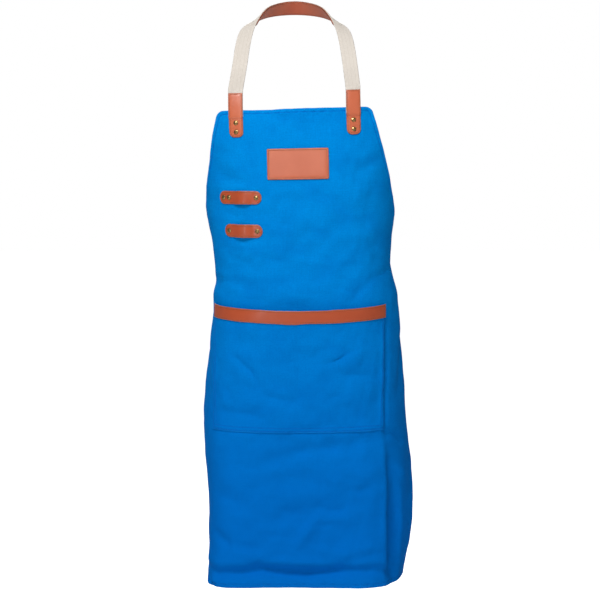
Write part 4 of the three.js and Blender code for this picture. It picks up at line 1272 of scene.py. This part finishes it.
socketBar = waist["mouth"] - waist["socket"] + waist["bar"] / 2
plugBar = waist["mouth"] + waist["plugBase"] - waist["bar"] / 2
tailEnd = socketBar - waist["tail"]
rightRoute = makeWaistRoute(-1, socketBar, tailEnd + waist["spare"], tailEnd)
leftRoute = makeWaistRoute(1, plugBar, plugBar + waist["fold"] - 0.9, plugBar + waist["fold"])
layWebbing("waist_webbing_right", "waist_strap_right", rightRoute)
leftStrap = layWebbing("waist_webbing_left", "waist_strap_left", leftRoute, None)
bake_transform(leftStrap)
tack = {"half": 10, "near": leftRoute.length - 4, "far": leftRoute.length - 16}
corners = [(-tack["half"], tack["near"]), (tack["half"], tack["near"]),
           (tack["half"], tack["far"]), (-tack["half"], tack["far"])]
tackRuns = [corners + corners[:1], [corners[0], corners[2]], [corners[1], corners[3]]]
sew("waist_webbing_tacks", tackRuns, leftRoute.place, evenLift(webbing["thickness"] / 2 - 0.05),
    creamThread, pitch=2.6, size=0.8, body="plug")
print("waist straps made")

# Buckle and keeper: copies of the frame's parts with their edges eased.


def easedCopy(node, name, finish, width):
    deselect()
    piece = bpy.data.objects.new(name, frame["nodes"][node].data.copy())
    piece.data.name = name
    bpy.context.scene.collection.objects.link(piece)
    bpy.context.view_layer.objects.active = piece
    piece.select_set(True)
    bpy.ops.object.mode_set(mode="EDIT")
    bpy.ops.mesh.select_all(action="SELECT")
    bpy.ops.mesh.remove_doubles(threshold=0.00002)
    bpy.ops.mesh.dissolve_limited(angle_limit=math.radians(2))
    bpy.ops.object.mode_set(mode="OBJECT")
    eased = piece.modifiers.new("eased", "BEVEL")
    eased.width = width * mm
    eased.segments = 3
    eased.limit_method = "ANGLE"
    eased.angle_limit = math.radians(40)
    eased.use_clamp_overlap = True
    bpy.ops.object.modifier_apply(modifier="eased")
    bpy.ops.object.shade_smooth_by_angle(angle=math.radians(32))
    dress(piece, finish, bodyOf[node])
    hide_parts(node)
    return piece


for node, name, width in (
    ("buckle_socket", "buckle_socket_shell", 0.6), ("buckle_plug", "buckle_plug_frame", 0.6),
    ("latch_arm_upper", "latch_arm_upper_button", 0.45), ("latch_arm_lower", "latch_arm_lower_button", 0.45),
):
    easedCopy(node, name, plasticFinish, width)
keeper = easedCopy("strap_keeper", "keeper_leather", tanLeather, 0.5)
keeperX = readPlaces(keeper.data)[:, 0]
keeperEdge = np.minimum(keeperX - keeperX.min(), keeperX.max() - keeperX) / mm
for label, distance in (("edge", keeperEdge), ("seam", keeperEdge + 5)):
    keeper.data.attributes.new(label, "FLOAT", "POINT").data.foreach_set("value", distance.astype(np.float32))
print("buckle made")

# Floor, light and camera.

studio = {"floor": -1.47, "aim": (0.00935, -0.204, -0.5516), "camera": (0, -4.204, -0.195), "lens": 128.86}
deselect()
bpy.ops.mesh.primitive_plane_add(size=30, location=(0, 0, studio["floor"]))
floor = bpy.context.object
floor.name = "studio_floor"
floorFinish, floorTree, floorShader = newFinish("paleFloor", {"Roughness": 0.9, "Specular IOR Level": 0.1})
floorPlace = addNode(floorTree, "TexCoord").outputs["Object"]
floorTone = mixColours(floorTree, noise(floorTree, floorPlace, 3.0),
                       (0.93, 0.93, 0.93, 1), (0.96, 0.96, 0.96, 1))
floorTree.links.new(floorTone, floorShader["Base Color"])
floorShader["Emission Color"].default_value = (1, 1, 1, 1)
seen = addNode(floorTree, "LightPath").outputs["Is Camera Ray"]
floorTree.links.new(times(floorTree, seen, 0.85), floorShader["Emission Strength"])
floor.data.materials.append(floorFinish)

lamps = [
    # place, aim, size, power
    ((-0.5, -2.0, 1.95), (0, -0.1, -0.4), 0.9, 68),
    ((2.0, -2.2, 0.3), (0, 0, -0.6), 1.6, 4),
    ((-0.6, 2.6, 1.5), (0, 0, -0.5), 2.0, 40),
    ((-0.2, -4.6, 1.05), (0, -0.1, -0.3), 1.1, 24),
    ((-1.15, -2.9, -0.75), (-0.05, -0.2, -0.57), 0.45, 7),
]
for k, (where, aim, size, power) in enumerate(lamps):
    light = bpy.data.lights.new(f"softbox{k + 1}", "AREA")
    light.shape = "SQUARE"
    light.size = size
    light.energy = power
    lamp = bpy.data.objects.new(f"softbox{k + 1}", light)
    lamp.location = where
    lamp.rotation_euler = (Vector(aim) - Vector(where)).to_track_quat("-Z", "Y").to_euler()
    bpy.context.scene.collection.objects.link(lamp)

world = bpy.data.worlds.new("studio")
bpy.context.scene.world = world
world.use_nodes = True
worldTree = world.node_tree
air = worldTree.nodes["Background"]
air.inputs["Color"].default_value = (1, 1, 1, 1)
seen = addNode(worldTree, "LightPath").outputs["Is Camera Ray"]
worldTree.links.new(ramp(worldTree, seen, 0.0, 1.0, 0.2, 1.0), air.inputs["Strength"])
bpy.context.scene.view_settings.view_transform = "Standard"

lens = bpy.data.cameras.new("camera")
lens.lens = studio["lens"]
lens.sensor_width = 36
lens.clip_start, lens.clip_end = 0.05, 100
camera = bpy.data.objects.new("camera", lens)
camera.location = studio["camera"]
camera.rotation_euler = (Vector(studio["aim"]) - Vector(studio["camera"])).to_track_quat("-Z", "Y").to_euler()
bpy.context.scene.collection.objects.link(camera)
bpy.context.scene.camera = camera

print("scene ready")
